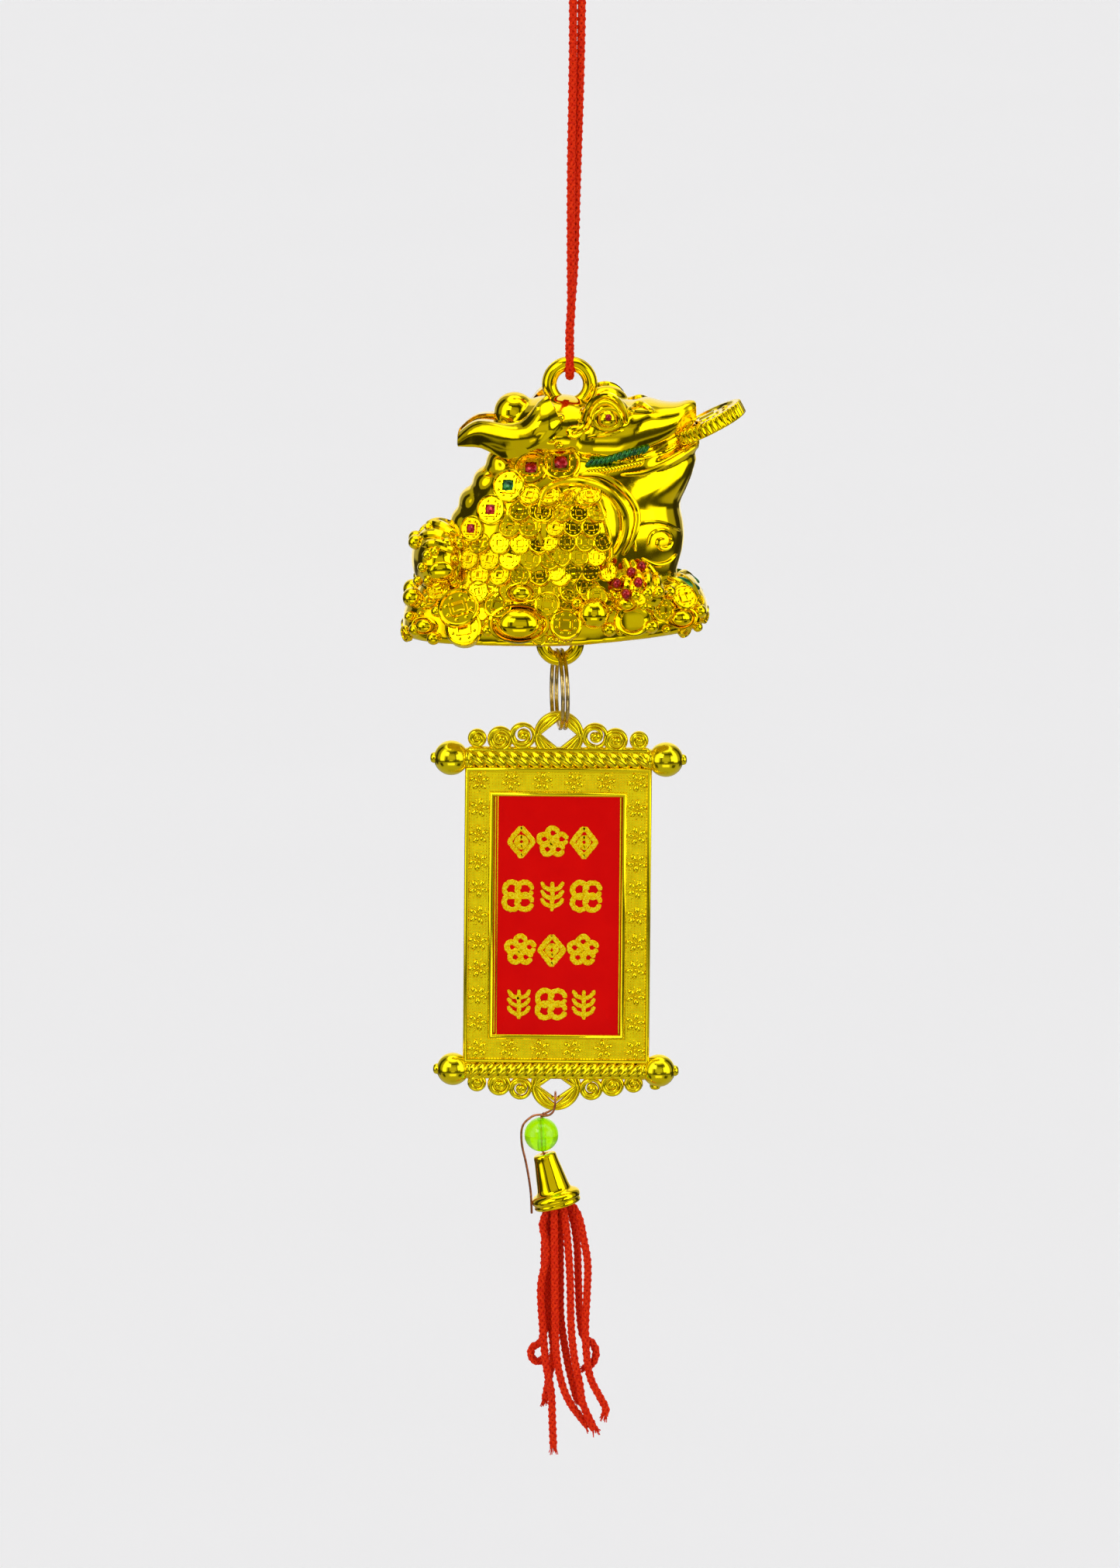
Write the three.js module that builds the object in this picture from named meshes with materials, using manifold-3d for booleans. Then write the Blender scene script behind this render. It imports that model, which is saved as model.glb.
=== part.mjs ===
// A hanging lucky charm. A doubled braided cord carries a hollow gold toad on a heap of coins. A split
// ring under the toad carries a scroll plaque, and a copper wire under the plaque carries a bead, a bell
// cap and a tassel of eight cords.
// Millimetres, +Z up, -Y is the front. The origin is where a hook bears: between the two strands of the
// cord, just under the knot.
import * as THREE from 'three';
import { mergeVertices } from 'three/addons/utils/BufferGeometryUtils.js';
import Module from 'manifold-3d';

const wasm = await Module();
wasm.setup();

const GAP = 0.3; // between neighbouring pieces

// The cord
const CORD_D = 1.5;
const STRAND_OFFSET = 0.9; // of each strand from the middle of the pair
const SPLICE_Z = -58; // where the strands end and the bight that can twist begins
const KNOT = { z: 2.6, r: 2.3 };

// The toad's two rings
const TOP_EYE = { x: -1.35, z: -71.3, r: 3.5, tube: 1.25 };
const BOTTOM_EYE = { x: -3.03, z: -116.7, r: 3.03, tube: 1.21 };

// The toad, measured from the middle of its top ring
const WALL = 1.6;
const BASE_Z = -43.9;
const SEAM = 0.15; // half the gap between the two halves
const COIN = { x: 24.3, z: -6.7, r: 6.5, thick: 2.4, tilt: 27 };

// The split ring: two turns of wire
const RING = { x: -3.03, z: -125.0, r: 6.85, wire: 0.7, pitch: 0.82, yaw: 6.5 };

// The plaque, measured from the wire that its crest ring hangs on
const PLAQUE = { x: -3.24, z: -131.95, lean: 0.5 };
const FRAME = { half: 16.3, top: -6.75, bottom: -59.3, thick: 2.6 };
const WINDOW = { half: 11.1, top: -11.1, bottom: -54.9, web: 0.8 };
const PANEL = { half: 10.7, top: -11.5, bottom: -54.5, thick: 0.5 };
const TOP_ROD = { z: -5.35, r: 1.63, half: 16.3, ball: 18.7, ballR: 3.05 };
const BOTTOM_ROD = { z: -60.6, r: 1.45, half: 16.0, ball: 18.0, ballR: 2.87 };
const CREST = { thick: 1.8, ringR: 4.45 };
const GATE = { r: 0.9, out: 0.6 }; // stub left by moulding at the outer end of each ball

// The pendant under the plaque
const WIRE_D = 0.4;
const BEAD = { x: -6.3, z: -204.1, r: 3.0, hole: 0.6, lean: 2.5 };
const CAP = { x: -5.8, z: -207.5, lean: 14.7 };
const TASSEL_TOP = { x: -3.75, z: -215.3 };
const STRAND_D = 1.4;

const degrees = THREE.MathUtils.degToRad;
const point = (x, y, z) => new THREE.Vector3(x, y, z);

const material = (color, roughness, metalness) =>
  new THREE.MeshStandardMaterial({ color, roughness, metalness });
const gold = () => material(0xe6c000, 0.12, 1);
const redCord = () => material(0xd81808, 0.75, 0);
const brass = () => material(0xb99a3a, 0.25, 1);
const copper = () => material(0x9c4a2e, 0.3, 1);
const redGloss = () => material(0xd80000, 0.15, 0);
const greenGlow = () => material(0x8cf500, 0.1, 0);

const charm = new THREE.Group();

function piece(parent, name, geometry, finish) {
  const mesh = new THREE.Mesh(geometry, finish);
  mesh.name = name;
  parent.add(mesh);
  return mesh;
}

function groupAt(x, z, leanDegrees = 0) {
  const group = new THREE.Group();
  group.position.set(x, 0, z);
  group.rotation.y = degrees(leanDegrees);
  charm.add(group);
  return group;
}

// Solids and back again
function solid(geometry) {
  const bare = geometry.index ? geometry.toNonIndexed() : geometry.clone();
  bare.deleteAttribute('normal');
  bare.deleteAttribute('uv');
  const merged = mergeVertices(bare, 1e-5);
  return new wasm.Manifold(new wasm.Mesh({
    numProp: 3,
    vertProperties: new Float32Array(merged.attributes.position.array),
    triVerts: new Uint32Array(merged.index.array),
  }));
}

function geometryOf(body) {
  const mesh = body.getMesh();
  const geometry = new THREE.BufferGeometry();
  geometry.setAttribute('position', new THREE.BufferAttribute(mesh.vertProperties, 3));
  geometry.setIndex(new THREE.BufferAttribute(mesh.triVerts, 1));
  return geometry;
}

const unite = (bodies) => bodies.reduce((sum, body) => sum.add(body));
const cut = (body, tools) => tools.reduce((rest, tool) => rest.subtract(tool), body);

// Simple shapes, already in place
function block(x0, x1, y0, y1, z0, z1) {
  const box = new THREE.BoxGeometry(x1 - x0, y1 - y0, z1 - z0);
  box.translate((x0 + x1) / 2, (y0 + y1) / 2, (z0 + z1) / 2);
  return solid(box);
}

function lump({ at, size, tilt = 0 }, inset = 0) {
  const ball = new THREE.SphereGeometry(1, 16, 10);
  ball.scale(size[0] - inset, size[1] - inset, size[2] - inset);
  ball.rotateY(degrees(-tilt));
  ball.translate(...at);
  return solid(ball);
}

function ball(x, y, z, r, sides = 14) {
  const round = new THREE.SphereGeometry(r, sides, Math.round(sides * 0.6));
  round.translate(x, y, z);
  return solid(round);
}

function pin(x, z, r, y0, y1, sides = 12) {
  const rod = new THREE.CylinderGeometry(r, r, y1 - y0, sides);
  rod.translate(x, (y0 + y1) / 2, z);
  return solid(rod);
}

function bar(z, r, x0, x1, sides = 14) {
  const rod = new THREE.CylinderGeometry(r, r, x1 - x0, sides);
  rod.rotateZ(Math.PI / 2);
  rod.translate((x0 + x1) / 2, 0, z);
  return solid(rod);
}

// A ring that stands in the XZ plane
function ring(x, z, r, tube, sides = 10, steps = 28) {
  const torus = new THREE.TorusGeometry(r, tube, sides, steps);
  torus.rotateX(Math.PI / 2);
  torus.translate(x, 0, z);
  return torus;
}

function rope(points, diameter, steps, sides = 8) {
  const section = new THREE.Shape();
  for (let i = 0; i < sides; i += 1) {
    const angle = (2 * Math.PI * i) / sides;
    const x = (diameter / 2) * Math.cos(angle);
    const y = (diameter / 2) * Math.sin(angle);
    if (i === 0) section.moveTo(x, y);
    else section.lineTo(x, y);
  }
  const path = new THREE.CatmullRomCurve3(points);
  return new THREE.ExtrudeGeometry(section, { steps, extrudePath: path, bevelEnabled: false });
}

// A turned body, with its profile listed from the top down
function turned(profile, sides) {
  const outline = profile.map(([r, z]) => new THREE.Vector2(r, z)).reverse();
  const lathe = new THREE.LatheGeometry(outline, sides);
  lathe.rotateX(Math.PI / 2);
  return lathe;
}

// ---- The cord: two strands side by side under the knot, a quarter turn later one behind the other ----
const CORD_LINE = [[0, 0], [-0.4, -12], [-1.0, -22], [-1.5, -32], [-1.7, -40], [-1.55, -50], [-1.35, -58]];
const TURN_FROM = -16;
const TURN_TO = -40;

function strandPoints(side) {
  return CORD_LINE.map(([x, z]) => {
    const part = THREE.MathUtils.clamp((TURN_FROM - z) / (TURN_FROM - TURN_TO), 0, 1);
    const angle = (part * Math.PI) / 2;
    const out = side * STRAND_OFFSET;
    return point(x + out * Math.cos(angle), out * Math.sin(angle), z);
  });
}

function makeCord() {
  for (const [name, side] of [['cord_strand_right', -1], ['cord_strand_left', 1]]) {
    piece(charm, name, rope(strandPoints(-side), CORD_D, 16), redCord());
  }
  const tubeZ = TOP_EYE.z + TOP_EYE.r;
  const reach = TOP_EYE.tube + CORD_D / 2 + 0.15;
  const bight = [];
  const down = [[STRAND_OFFSET, SPLICE_Z - GAP], [STRAND_OFFSET + 0.2, SPLICE_Z - 4], [reach, tubeZ + 0.8]];
  for (const [y, z] of down) bight.push(point(TOP_EYE.x, -y, z));
  for (const angle of [-70, -40, 0, 40, 70]) {
    const a = degrees(angle);
    bight.push(point(TOP_EYE.x, reach * Math.sin(a), tubeZ - reach * Math.cos(a)));
  }
  for (const [y, z] of down.reverse()) bight.push(point(TOP_EYE.x, y, z));
  piece(charm, 'cord_bight', rope(bight, CORD_D, 24), redCord());

  const knot = new THREE.SphereGeometry(KNOT.r, 14, 10);
  knot.translate(0, 0, KNOT.z);
  piece(charm, 'cord_knot', knot, redCord());
  for (const [name, side] of [['cord_tail_left', -1], ['cord_tail_right', 1]]) {
    const tail = [point(side * 1.1, 0, 5.0), point(side * 1.6, 0.2, 7), point(side * 2.5, 0.4, 9.5)];
    piece(charm, name, rope(tail, CORD_D, 3), redCord());
  }
}

// ---- The toad: two hollow halves glued at the seam ----
const HOLLOW_LUMPS = [
  { at: [0.8, 0, -26], size: [19.2, 11.5, 19.5] }, // belly
  { at: [13.5, 0, -20], size: [7.6, 7.8, 14] }, // throat
  { at: [7, 0, -8.8], size: [12, 8.5, 7.6] }, // head
  { at: [-22, 0, -31.5], size: [6.5, 9, 7.5] }, // rump
  { at: [-2.5, 0, -44], size: [26.6, 13, 15] }, // heap
];
const SOLID_LUMPS = [
  { at: [15.5, 0, -7.3], size: [8, 6.5, 4.6], tilt: 18 }, // snout
  { at: [17, 0, -12.6], size: [6.6, 6, 3.4], tilt: 25 }, // jaw
  { at: [-10, 0, -6.2], size: [4.2, 4.2, 4.2] }, // bun behind the ears
  { at: [-12.8, -6, -9], size: [7.6, 2.4, 3.4], tilt: 28 }, // ears
  { at: [-12.8, 6, -9], size: [7.6, 2.4, 3.4], tilt: 28 },
  { at: [7.6, -5.5, -3.1], size: [3.6, 2.6, 3.3] }, // brows
  { at: [7.6, 5.5, -3.1], size: [3.6, 2.6, 3.3] },
];
const PINS = [[-14, -31], [9, -33], [3, -12]];
const SPAN = 60; // larger than the toad, for cutting blocks

function coinSolid(extra) {
  const coin = new THREE.CylinderGeometry(COIN.r + extra, COIN.r + extra, COIN.thick + 2 * extra, 32);
  coin.rotateX(Math.PI / 2);
  coin.rotateY(degrees(-COIN.tilt));
  coin.translate(COIN.x, 0, COIN.z);
  return coin;
}

function toadHalves() {
  const aboveBase = block(-SPAN, SPAN, -SPAN, SPAN, BASE_Z, SPAN);
  const aboveFloor = block(-SPAN, SPAN, -SPAN, SPAN, BASE_Z + WALL, SPAN);
  const lumps = [...HOLLOW_LUMPS, ...SOLID_LUMPS].map((shape) => lump(shape));
  const outside = unite(lumps).intersect(aboveBase);
  const inside = unite(HOLLOW_LUMPS.map((shape) => lump(shape, WALL))).intersect(aboveFloor);
  const notches = [
    solid(ring(0, 0, TOP_EYE.r, TOP_EYE.tube + GAP)),
    solid(ring(BOTTOM_EYE.x - TOP_EYE.x, BOTTOM_EYE.z - TOP_EYE.z, BOTTOM_EYE.r, BOTTOM_EYE.tube + GAP)),
    solid(coinSolid(GAP)),
  ];
  const shell = cut(outside.subtract(inside), notches);
  const frontSide = block(-SPAN, SPAN, -SPAN, -SEAM, -SPAN, SPAN);
  const backSide = block(-SPAN, SPAN, SEAM, SPAN, -SPAN, SPAN);
  const bosses = unite(PINS.map(([x, z]) => pin(x, z, 2.2, -SPAN, -SEAM))).intersect(outside);
  const bores = PINS.map(([x, z]) => pin(x, z, 1.3, -3, 0));
  const pegs = unite(PINS.map(([x, z]) => pin(x, z, 1, -2, SPAN)));
  const blind = block(-SPAN, SPAN, -2, SPAN, -SPAN, SPAN);
  return {
    front: cut(shell.intersect(frontSide).add(bosses), [...notches, ...bores]),
    back: shell.intersect(backSide).add(pegs.intersect(outside).intersect(blind)),
  };
}

// The biggest part of a body, without crumbs that a cut may leave
function largest(body) {
  const parts = body.decompose();
  return parts.reduce((best, part) => (part.volume() > best.volume() ? part : best));
}

function makeToad() {
  const toad = groupAt(TOP_EYE.x, TOP_EYE.z);
  const halves = toadHalves();
  piece(toad, 'toad_front_shell', geometryOf(largest(halves.front)), gold());
  piece(toad, 'toad_back_shell', geometryOf(largest(halves.back)), gold());
  piece(toad, 'top_eye', ring(0, 0, TOP_EYE.r, TOP_EYE.tube), gold());
  const bottom = ring(BOTTOM_EYE.x - TOP_EYE.x, BOTTOM_EYE.z - TOP_EYE.z, BOTTOM_EYE.r, BOTTOM_EYE.tube);
  piece(toad, 'bottom_eye', bottom, gold());
  piece(toad, 'mouth_coin', coinSolid(0), gold());
}

// ---- The split ring: a flat helix of two turns ----
function makeSplitRing() {
  const turns = 2;
  const steps = 44;
  const route = [];
  for (let i = 0; i <= steps; i += 1) {
    const part = i / steps;
    const angle = degrees(-55) + part * (turns * 2 * Math.PI - degrees(12));
    const across = RING.pitch * (part * turns - turns / 2);
    route.push(point(across, RING.r * Math.cos(angle), RING.r * Math.sin(angle)));
  }
  const wire = rope(route, RING.wire, steps);
  const holder = groupAt(RING.x, RING.z);
  holder.rotation.z = degrees(RING.yaw);
  piece(holder, 'split_ring', wire, brass());
}

// ---- The plaque ----
const TOP_SWIRLS = [[-14.2, -1.4, 1.4], [-10.1, -1.9, 2.1], [-6.4, -1.3, 2.0], [6.4, -1.3, 2.0],
  [9.8, -2.0, 2.0], [14.2, -1.8, 1.5]];
const BOTTOM_SWIRLS = [[-13.8, -63.2, 1.4], [-9.9, -63.4, 1.9], [-6.4, -64.2, 1.8], [6.0, -64.2, 1.8],
  [9.9, -63.4, 1.9], [13.6, -63.2, 1.4]];

function crest(swirls, ringZ, hole, strip) {
  const half = CREST.thick / 2;
  const parts = swirls.map(([x, z, r]) => pin(x, z, r, -half, half));
  parts.push(pin(0, ringZ, CREST.ringR, -half, half, 28));
  parts.push(block(-15.4, 15.4, -half, half, strip[0], strip[1]));
  const gap = new THREE.CylinderGeometry(1, 1, 4 * half, 20);
  gap.scale(hole.half, 1, hole.high);
  gap.translate(0, 0, hole.z);
  return unite(parts).subtract(solid(gap));
}

function rodWithBalls(rod) {
  const parts = [bar(rod.z, rod.r, -rod.half - 1.2, rod.half + 1.2)];
  const tip = rod.ball + rod.ballR + GATE.out;
  parts.push(bar(rod.z, GATE.r, -tip, tip));
  for (const side of [-1, 1]) parts.push(ball(side * rod.ball, 0, rod.z, rod.ballR));
  return unite(parts);
}

function makePlaque() {
  const plaque = groupAt(PLAQUE.x, PLAQUE.z, PLAQUE.lean);
  const half = FRAME.thick / 2;
  const plate = block(-FRAME.half, FRAME.half, -half, half, FRAME.bottom, FRAME.top);
  const frontRecess = block(-WINDOW.half, WINDOW.half, -half - 1, -WINDOW.web / 2, WINDOW.bottom, WINDOW.top);
  const backRecess = block(-WINDOW.half, WINDOW.half, WINDOW.web / 2, half + 1, WINDOW.bottom, WINDOW.top);
  const frame = unite([
    cut(plate, [frontRecess, backRecess]),
    rodWithBalls(TOP_ROD),
    rodWithBalls(BOTTOM_ROD),
    crest(TOP_SWIRLS, -1.25, { z: -1.05, half: 2.8, high: 2.25 }, [-4.4, -2.4]),
    crest(BOTTOM_SWIRLS, -63.45, { z: -63.6, half: 2.6, high: 1.75 }, [-62.6, -61.4]),
  ]);
  piece(plaque, 'scroll_frame', geometryOf(frame), gold());
  const inner = WINDOW.web / 2 + GAP;
  for (const [name, side] of [['front_panel', -1], ['back_panel', 1]]) {
    const sheet = new THREE.BoxGeometry(2 * PANEL.half, PANEL.thick, PANEL.top - PANEL.bottom);
    const panel = piece(plaque, name, sheet, redGloss());
    panel.position.set(0, side * (inner + PANEL.thick / 2), (PANEL.top + PANEL.bottom) / 2);
  }
}

// ---- The pendant: wire, bead, cap and tassel ----
const WIRE_ROUTE = [
  [-8.0, -0.6, -218.1], [-8.2, -0.7, -214], [-8.9, -0.6, -209.5], [-9.75, -0.4, -205.5], [-9.6, -0.35, -202.6],
  [-8.2, -0.4, -201.0], [-6.9, -0.5, -200.5], [-5.4, -0.8, -200.6], [-4.4, -1.3, -200.0], [-3.95, -1.5, -198.8],
  [-3.85, -1.3, -197.2], [-3.85, -0.5, -196.65], [-3.85, 0.5, -196.65], [-3.85, 1.3, -197.2],
  [-3.95, 1.5, -198.8], [-4.6, 1.2, -200.0], [-5.7, 0.6, -200.5], [-6.3, 0.15, -201.0], [-6.4, 0, -202.2],
  [-6.3, 0, -204.1], [-6.2, 0, -206.4], [-5.85, 0, -207.6], [-5.4, 0, -209.2], [-4.98, 0, -210.7],
];

const CAP_PROFILE = [[0.7, 0], [1.9, -0.15], [2.05, -0.9], [2.5, -3.8], [2.95, -6.3], [3.4, -7.4], [4.05, -8.0],
  [4.2, -8.5], [4.0, -9.0], [3.6, -9.1], [3.3, -8.5], [2.75, -7.3], [2.35, -6.0], [1.9, -3.2], [1.5, -1.0],
  [0.7, -0.9], [0.7, 0]];

function beadGeometry() {
  const from = Math.asin(BEAD.hole / BEAD.r);
  const profile = [];
  const steps = 12;
  for (let i = 0; i <= steps; i += 1) {
    const angle = from + ((Math.PI - 2 * from) * i) / steps;
    profile.push([BEAD.r * Math.sin(angle), BEAD.r * Math.cos(angle)]);
  }
  profile.push([...profile[0]]);
  return turned(profile, 20);
}

const TASSEL_ROUTES = {
  tassel_strand_1: [[-5.25, -0.7, -215.3], [-5.7, -1.0, -221], [-5.75, -1.1, -226], [-6.5, -1.1, -231],
    [-6.1, -1.1, -238], [-5.5, -1.1, -245], [-4.6, -1.0, -250], [-4.4, -0.6, -255], [-4.2, -0.4, -260.2]],
  tassel_strand_2: [[-4.12, -1.62, -215.3], [-4.0, -1.6, -225], [-3.9, -1.5, -235], [-3.7, -1.3, -243],
    [-2.7, -1.2, -248.5], [-1.3, -0.8, -252], [0.3, -0.1, -254.4], [1.9, 0.7, -256.6]],
  tassel_strand_3: [[-2.73, -1.31, -215.3], [-2.3, -1.4, -222], [-2.1, -1.4, -230], [-1.9, -1.3, -238],
    [-0.8, -1.2, -244], [0.4, -1.1, -248.5], [1.0, -1.1, -252.2], [3.0, -1.1, -256.7]],
  tassel_strand_4: [[-2.09, 0, -215.3], [-0.3, -0.5, -219.5], [0.5, -0.8, -223], [1.6, -0.9, -228],
    [1.5, -0.9, -236], [1.6, -0.9, -243], [2.3, -0.9, -247.5], [4.0, -0.9, -251], [5.0, -0.8, -253],
    [4.75, -0.8, -254.3]],
  tassel_strand_5: [[-2.71, 1.29, -215.3], [-1.9, 1.5, -222], [-1.2, 1.2, -230], [-0.2, 1.0, -237],
    [1.0, 1.0, -240.3], [2.6, 0.9, -241.6], [3.3, 0.9, -243.4], [2.6, 1.0, -245.4], [1.2, 1.3, -246.2]],
  tassel_strand_6: [[-4.12, 1.62, -215.3], [-4.1, 1.7, -225], [-4.0, 1.5, -236], [-3.9, 1.3, -243],
    [-4.9, 1.1, -247.5], [-5.7, 0.9, -251.9]],
  tassel_strand_7: [[-5.24, 0.73, -215.3], [-5.7, 1.0, -222], [-5.8, 0.9, -231], [-5.7, 0.7, -238],
    [-6.4, 0.5, -241.3], [-7.9, 0.4, -242.3], [-8.1, 0.5, -243.9], [-7.0, 0.8, -245.0], [-5.8, 1.6, -244.4]],
  tassel_strand_8: [[-3.75, 0, -215.3], [-3.1, 0.05, -221], [-2.7, 0.1, -230], [-2.2, 0.4, -238],
    [-1.9, 0.7, -244], [-1.0, 0.9, -248.2], [-0.1, 1.3, -251.8]],
};

function makePendant() {
  piece(charm, 'bead_wire', rope(WIRE_ROUTE.map((p) => point(...p)), WIRE_D, 76), copper());
  piece(groupAt(BEAD.x, BEAD.z, -BEAD.lean), 'green_bead', beadGeometry(), greenGlow());
  const cap = groupAt(CAP.x, CAP.z, -CAP.lean);
  piece(cap, 'bell_cap', turned(CAP_PROFILE, 24), gold());
  const head = turned([[0, -3.6], [1.4, -3.6], [1.95, -6.4], [1.7, -7.0], [0, -7.0]], 14);
  piece(cap, 'tassel_head', head, redCord());
  for (const [name, route] of Object.entries(TASSEL_ROUTES)) {
    piece(charm, name, rope(route.map((p) => point(...p)), STRAND_D, 13), redCord());
  }
}

makeCord();
makeToad();
makeSplitRing();
makePlaque();
makePendant();

export default charm;
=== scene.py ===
"""The looks of a hanging lucky charm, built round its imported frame.

Shapes are made in millimetres in the frame's own axes (+Z up, -Y the front), and become metres when
they become Blender objects. The toad, plaque, bead and cap are made round their own origins, then placed.
"""
import math
import random

import bmesh
import bpy
import numpy as np
from mathutils import Matrix, Vector
from mathutils.bvhtree import BVHTree


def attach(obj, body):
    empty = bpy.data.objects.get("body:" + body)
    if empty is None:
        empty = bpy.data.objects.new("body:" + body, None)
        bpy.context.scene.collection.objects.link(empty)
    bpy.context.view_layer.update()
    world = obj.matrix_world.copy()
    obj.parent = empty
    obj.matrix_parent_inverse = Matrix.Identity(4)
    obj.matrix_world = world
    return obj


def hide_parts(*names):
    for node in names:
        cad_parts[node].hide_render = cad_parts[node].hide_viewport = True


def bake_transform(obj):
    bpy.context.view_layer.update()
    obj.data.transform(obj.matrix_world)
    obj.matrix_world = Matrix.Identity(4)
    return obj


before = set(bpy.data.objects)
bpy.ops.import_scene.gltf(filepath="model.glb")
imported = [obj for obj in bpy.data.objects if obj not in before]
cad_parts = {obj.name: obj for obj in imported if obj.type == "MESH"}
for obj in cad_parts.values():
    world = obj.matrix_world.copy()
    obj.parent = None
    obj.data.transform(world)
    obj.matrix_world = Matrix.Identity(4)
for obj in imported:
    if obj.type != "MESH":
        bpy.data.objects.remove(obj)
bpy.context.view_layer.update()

MM = 0.001
TURN = 2 * math.pi
chance = random.Random(7)

# Where the sub-assemblies sit, in millimetres, as in the frame
TOAD_AT = Vector((-1.35, 0, -71.3))
PLAQUE_AT = Vector((-3.24, 0, -131.95))
PLAQUE_LEAN = 0.5
CAP_AT = Vector((-5.8, 0, -207.5))
CAP_LEAN = -14.7
BEAD_AT = Vector((-6.3, 0, -204.1))
BEAD_LEAN = -2.5
CORD_D = 1.5
STRAND_D = 1.4
SEAM = 0.05  # half the gap between the toad's two halves

# ---------------------------------------------------------------- shapes


class Shape:
    """Closed skins in millimetres, gathered to become one mesh. core counts a braid's first faces."""

    def __init__(self):
        self.verts, self.faces, self.core = [], [], 0

    def add(self, skin, place=None):
        verts, faces = skin
        first = len(self.verts)
        if place is not None:
            verts = [place @ Vector(v) for v in verts]
        self.verts += [tuple(v) for v in verts]
        self.faces += [tuple(first + i for i in face) for face in faces]
        return self

    def mirrored(self):
        """The same shape on the other side of the XZ plane."""
        other = Shape()
        other.verts = [(x, -y, z) for x, y, z in self.verts]
        other.faces = [face[::-1] for face in self.faces]
        return other

    def to_object(self, name, material, place=None, sharp=50):
        verts = np.array(self.verts, float)
        if place is not None:
            turn = np.array(place.to_3x3())
            verts = verts @ turn.T + np.array(place.translation)
        mesh = bpy.data.meshes.new(name)
        mesh.from_pydata((verts * MM).tolist(), [], self.faces)
        mesh.validate()
        piece = bpy.data.objects.new(name, mesh)
        bpy.context.scene.collection.objects.link(piece)
        mesh.materials.append(material)
        mesh.shade_smooth()
        if sharp:
            mesh.set_sharp_from_angle(angle=math.radians(sharp))
        return piece


def move(x, y, z):
    return Matrix.Translation((x, y, z))


def turn(degrees, axis):
    return Matrix.Rotation(math.radians(degrees), 4, axis)


def stretch(x, y, z):
    return Matrix.Diagonal((x, y, z, 1))


def rings_to_skin(rings, closed=False):
    """Joins rings of points, each as long as the others, into a skin. Open skins get end caps."""
    count, sides = len(rings), len(rings[0])
    verts = [point for ring in rings for point in ring]
    faces = []
    for i in range(count if closed else count - 1):
        a, b = i * sides, (i + 1) % count * sides
        for j in range(sides):
            k = (j + 1) % sides
            faces.append((a + j, a + k, b + k, b + j))
    if not closed:
        for ring, first in ((0, 0), (count - 1, (count - 1) * sides)):
            middle = sum((Vector(p) for p in rings[ring]), Vector()) / sides
            verts.append(middle)
            tip = len(verts) - 1
            for j in range(sides):
                pair = (first + (j + 1) % sides, first + j)
                faces.append((tip, *(pair if ring == 0 else pair[::-1])))
    return verts, faces


def spline(knots, step):
    """A smooth curve through the knots, with a point about every step."""
    k = [Vector(p) for p in knots]
    k = [2 * k[0] - k[1], *k, 2 * k[-1] - k[-2]]
    points = []
    for a, b, c, d in zip(k, k[1:], k[2:], k[3:]):
        count = max(2, round((c - b).length / step))
        for i in range(count):
            t = i / count
            points.append(0.5 * (2 * b + (c - a) * t + (2 * a - 5 * b + 4 * c - d) * t * t
                                 + (3 * b - 3 * c + d - a) * t ** 3))
    return [*points, k[-2]]


def evenly(points, step):
    """The same line with its points evenly spaced, and how far along each one is."""
    line = np.array([tuple(p) for p in points], float)
    along = np.concatenate([[0], np.cumsum(np.linalg.norm(np.diff(line, axis=0), axis=1))])
    distance = np.linspace(0, along[-1], max(3, round(along[-1] / step)))
    return np.stack([np.interp(distance, along, line[:, i]) for i in range(3)], 1), distance


def carried(line, closed=False):
    """Each point's tangent, side and up, carried along the line without needless twist."""
    ahead = np.roll(line, -1, 0) - np.roll(line, 1, 0) if closed else np.gradient(line, axis=0)
    ahead /= np.linalg.norm(ahead, axis=1)[:, None]
    side = np.cross(ahead[0], (0, 1, 0) if abs(ahead[0][1]) < 0.9 else (0, 0, 1))
    sides = []
    for t in ahead:
        side = side - t * (side @ t)
        side = side / np.linalg.norm(side)
        sides.append(side)
    sides = np.array(sides)
    if closed:  # share out the angle by which the last frame misses the first
        back = sides[-1] - ahead[0] * (sides[-1] @ ahead[0])
        miss = math.atan2(np.cross(back, sides[0]) @ ahead[0], back @ sides[0])
        angle = (np.arange(len(line)) / len(line) * miss)[:, None]
        sides = sides * np.cos(angle) + np.cross(ahead, sides) * np.sin(angle)
    return ahead, sides, np.cross(ahead, sides)


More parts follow.
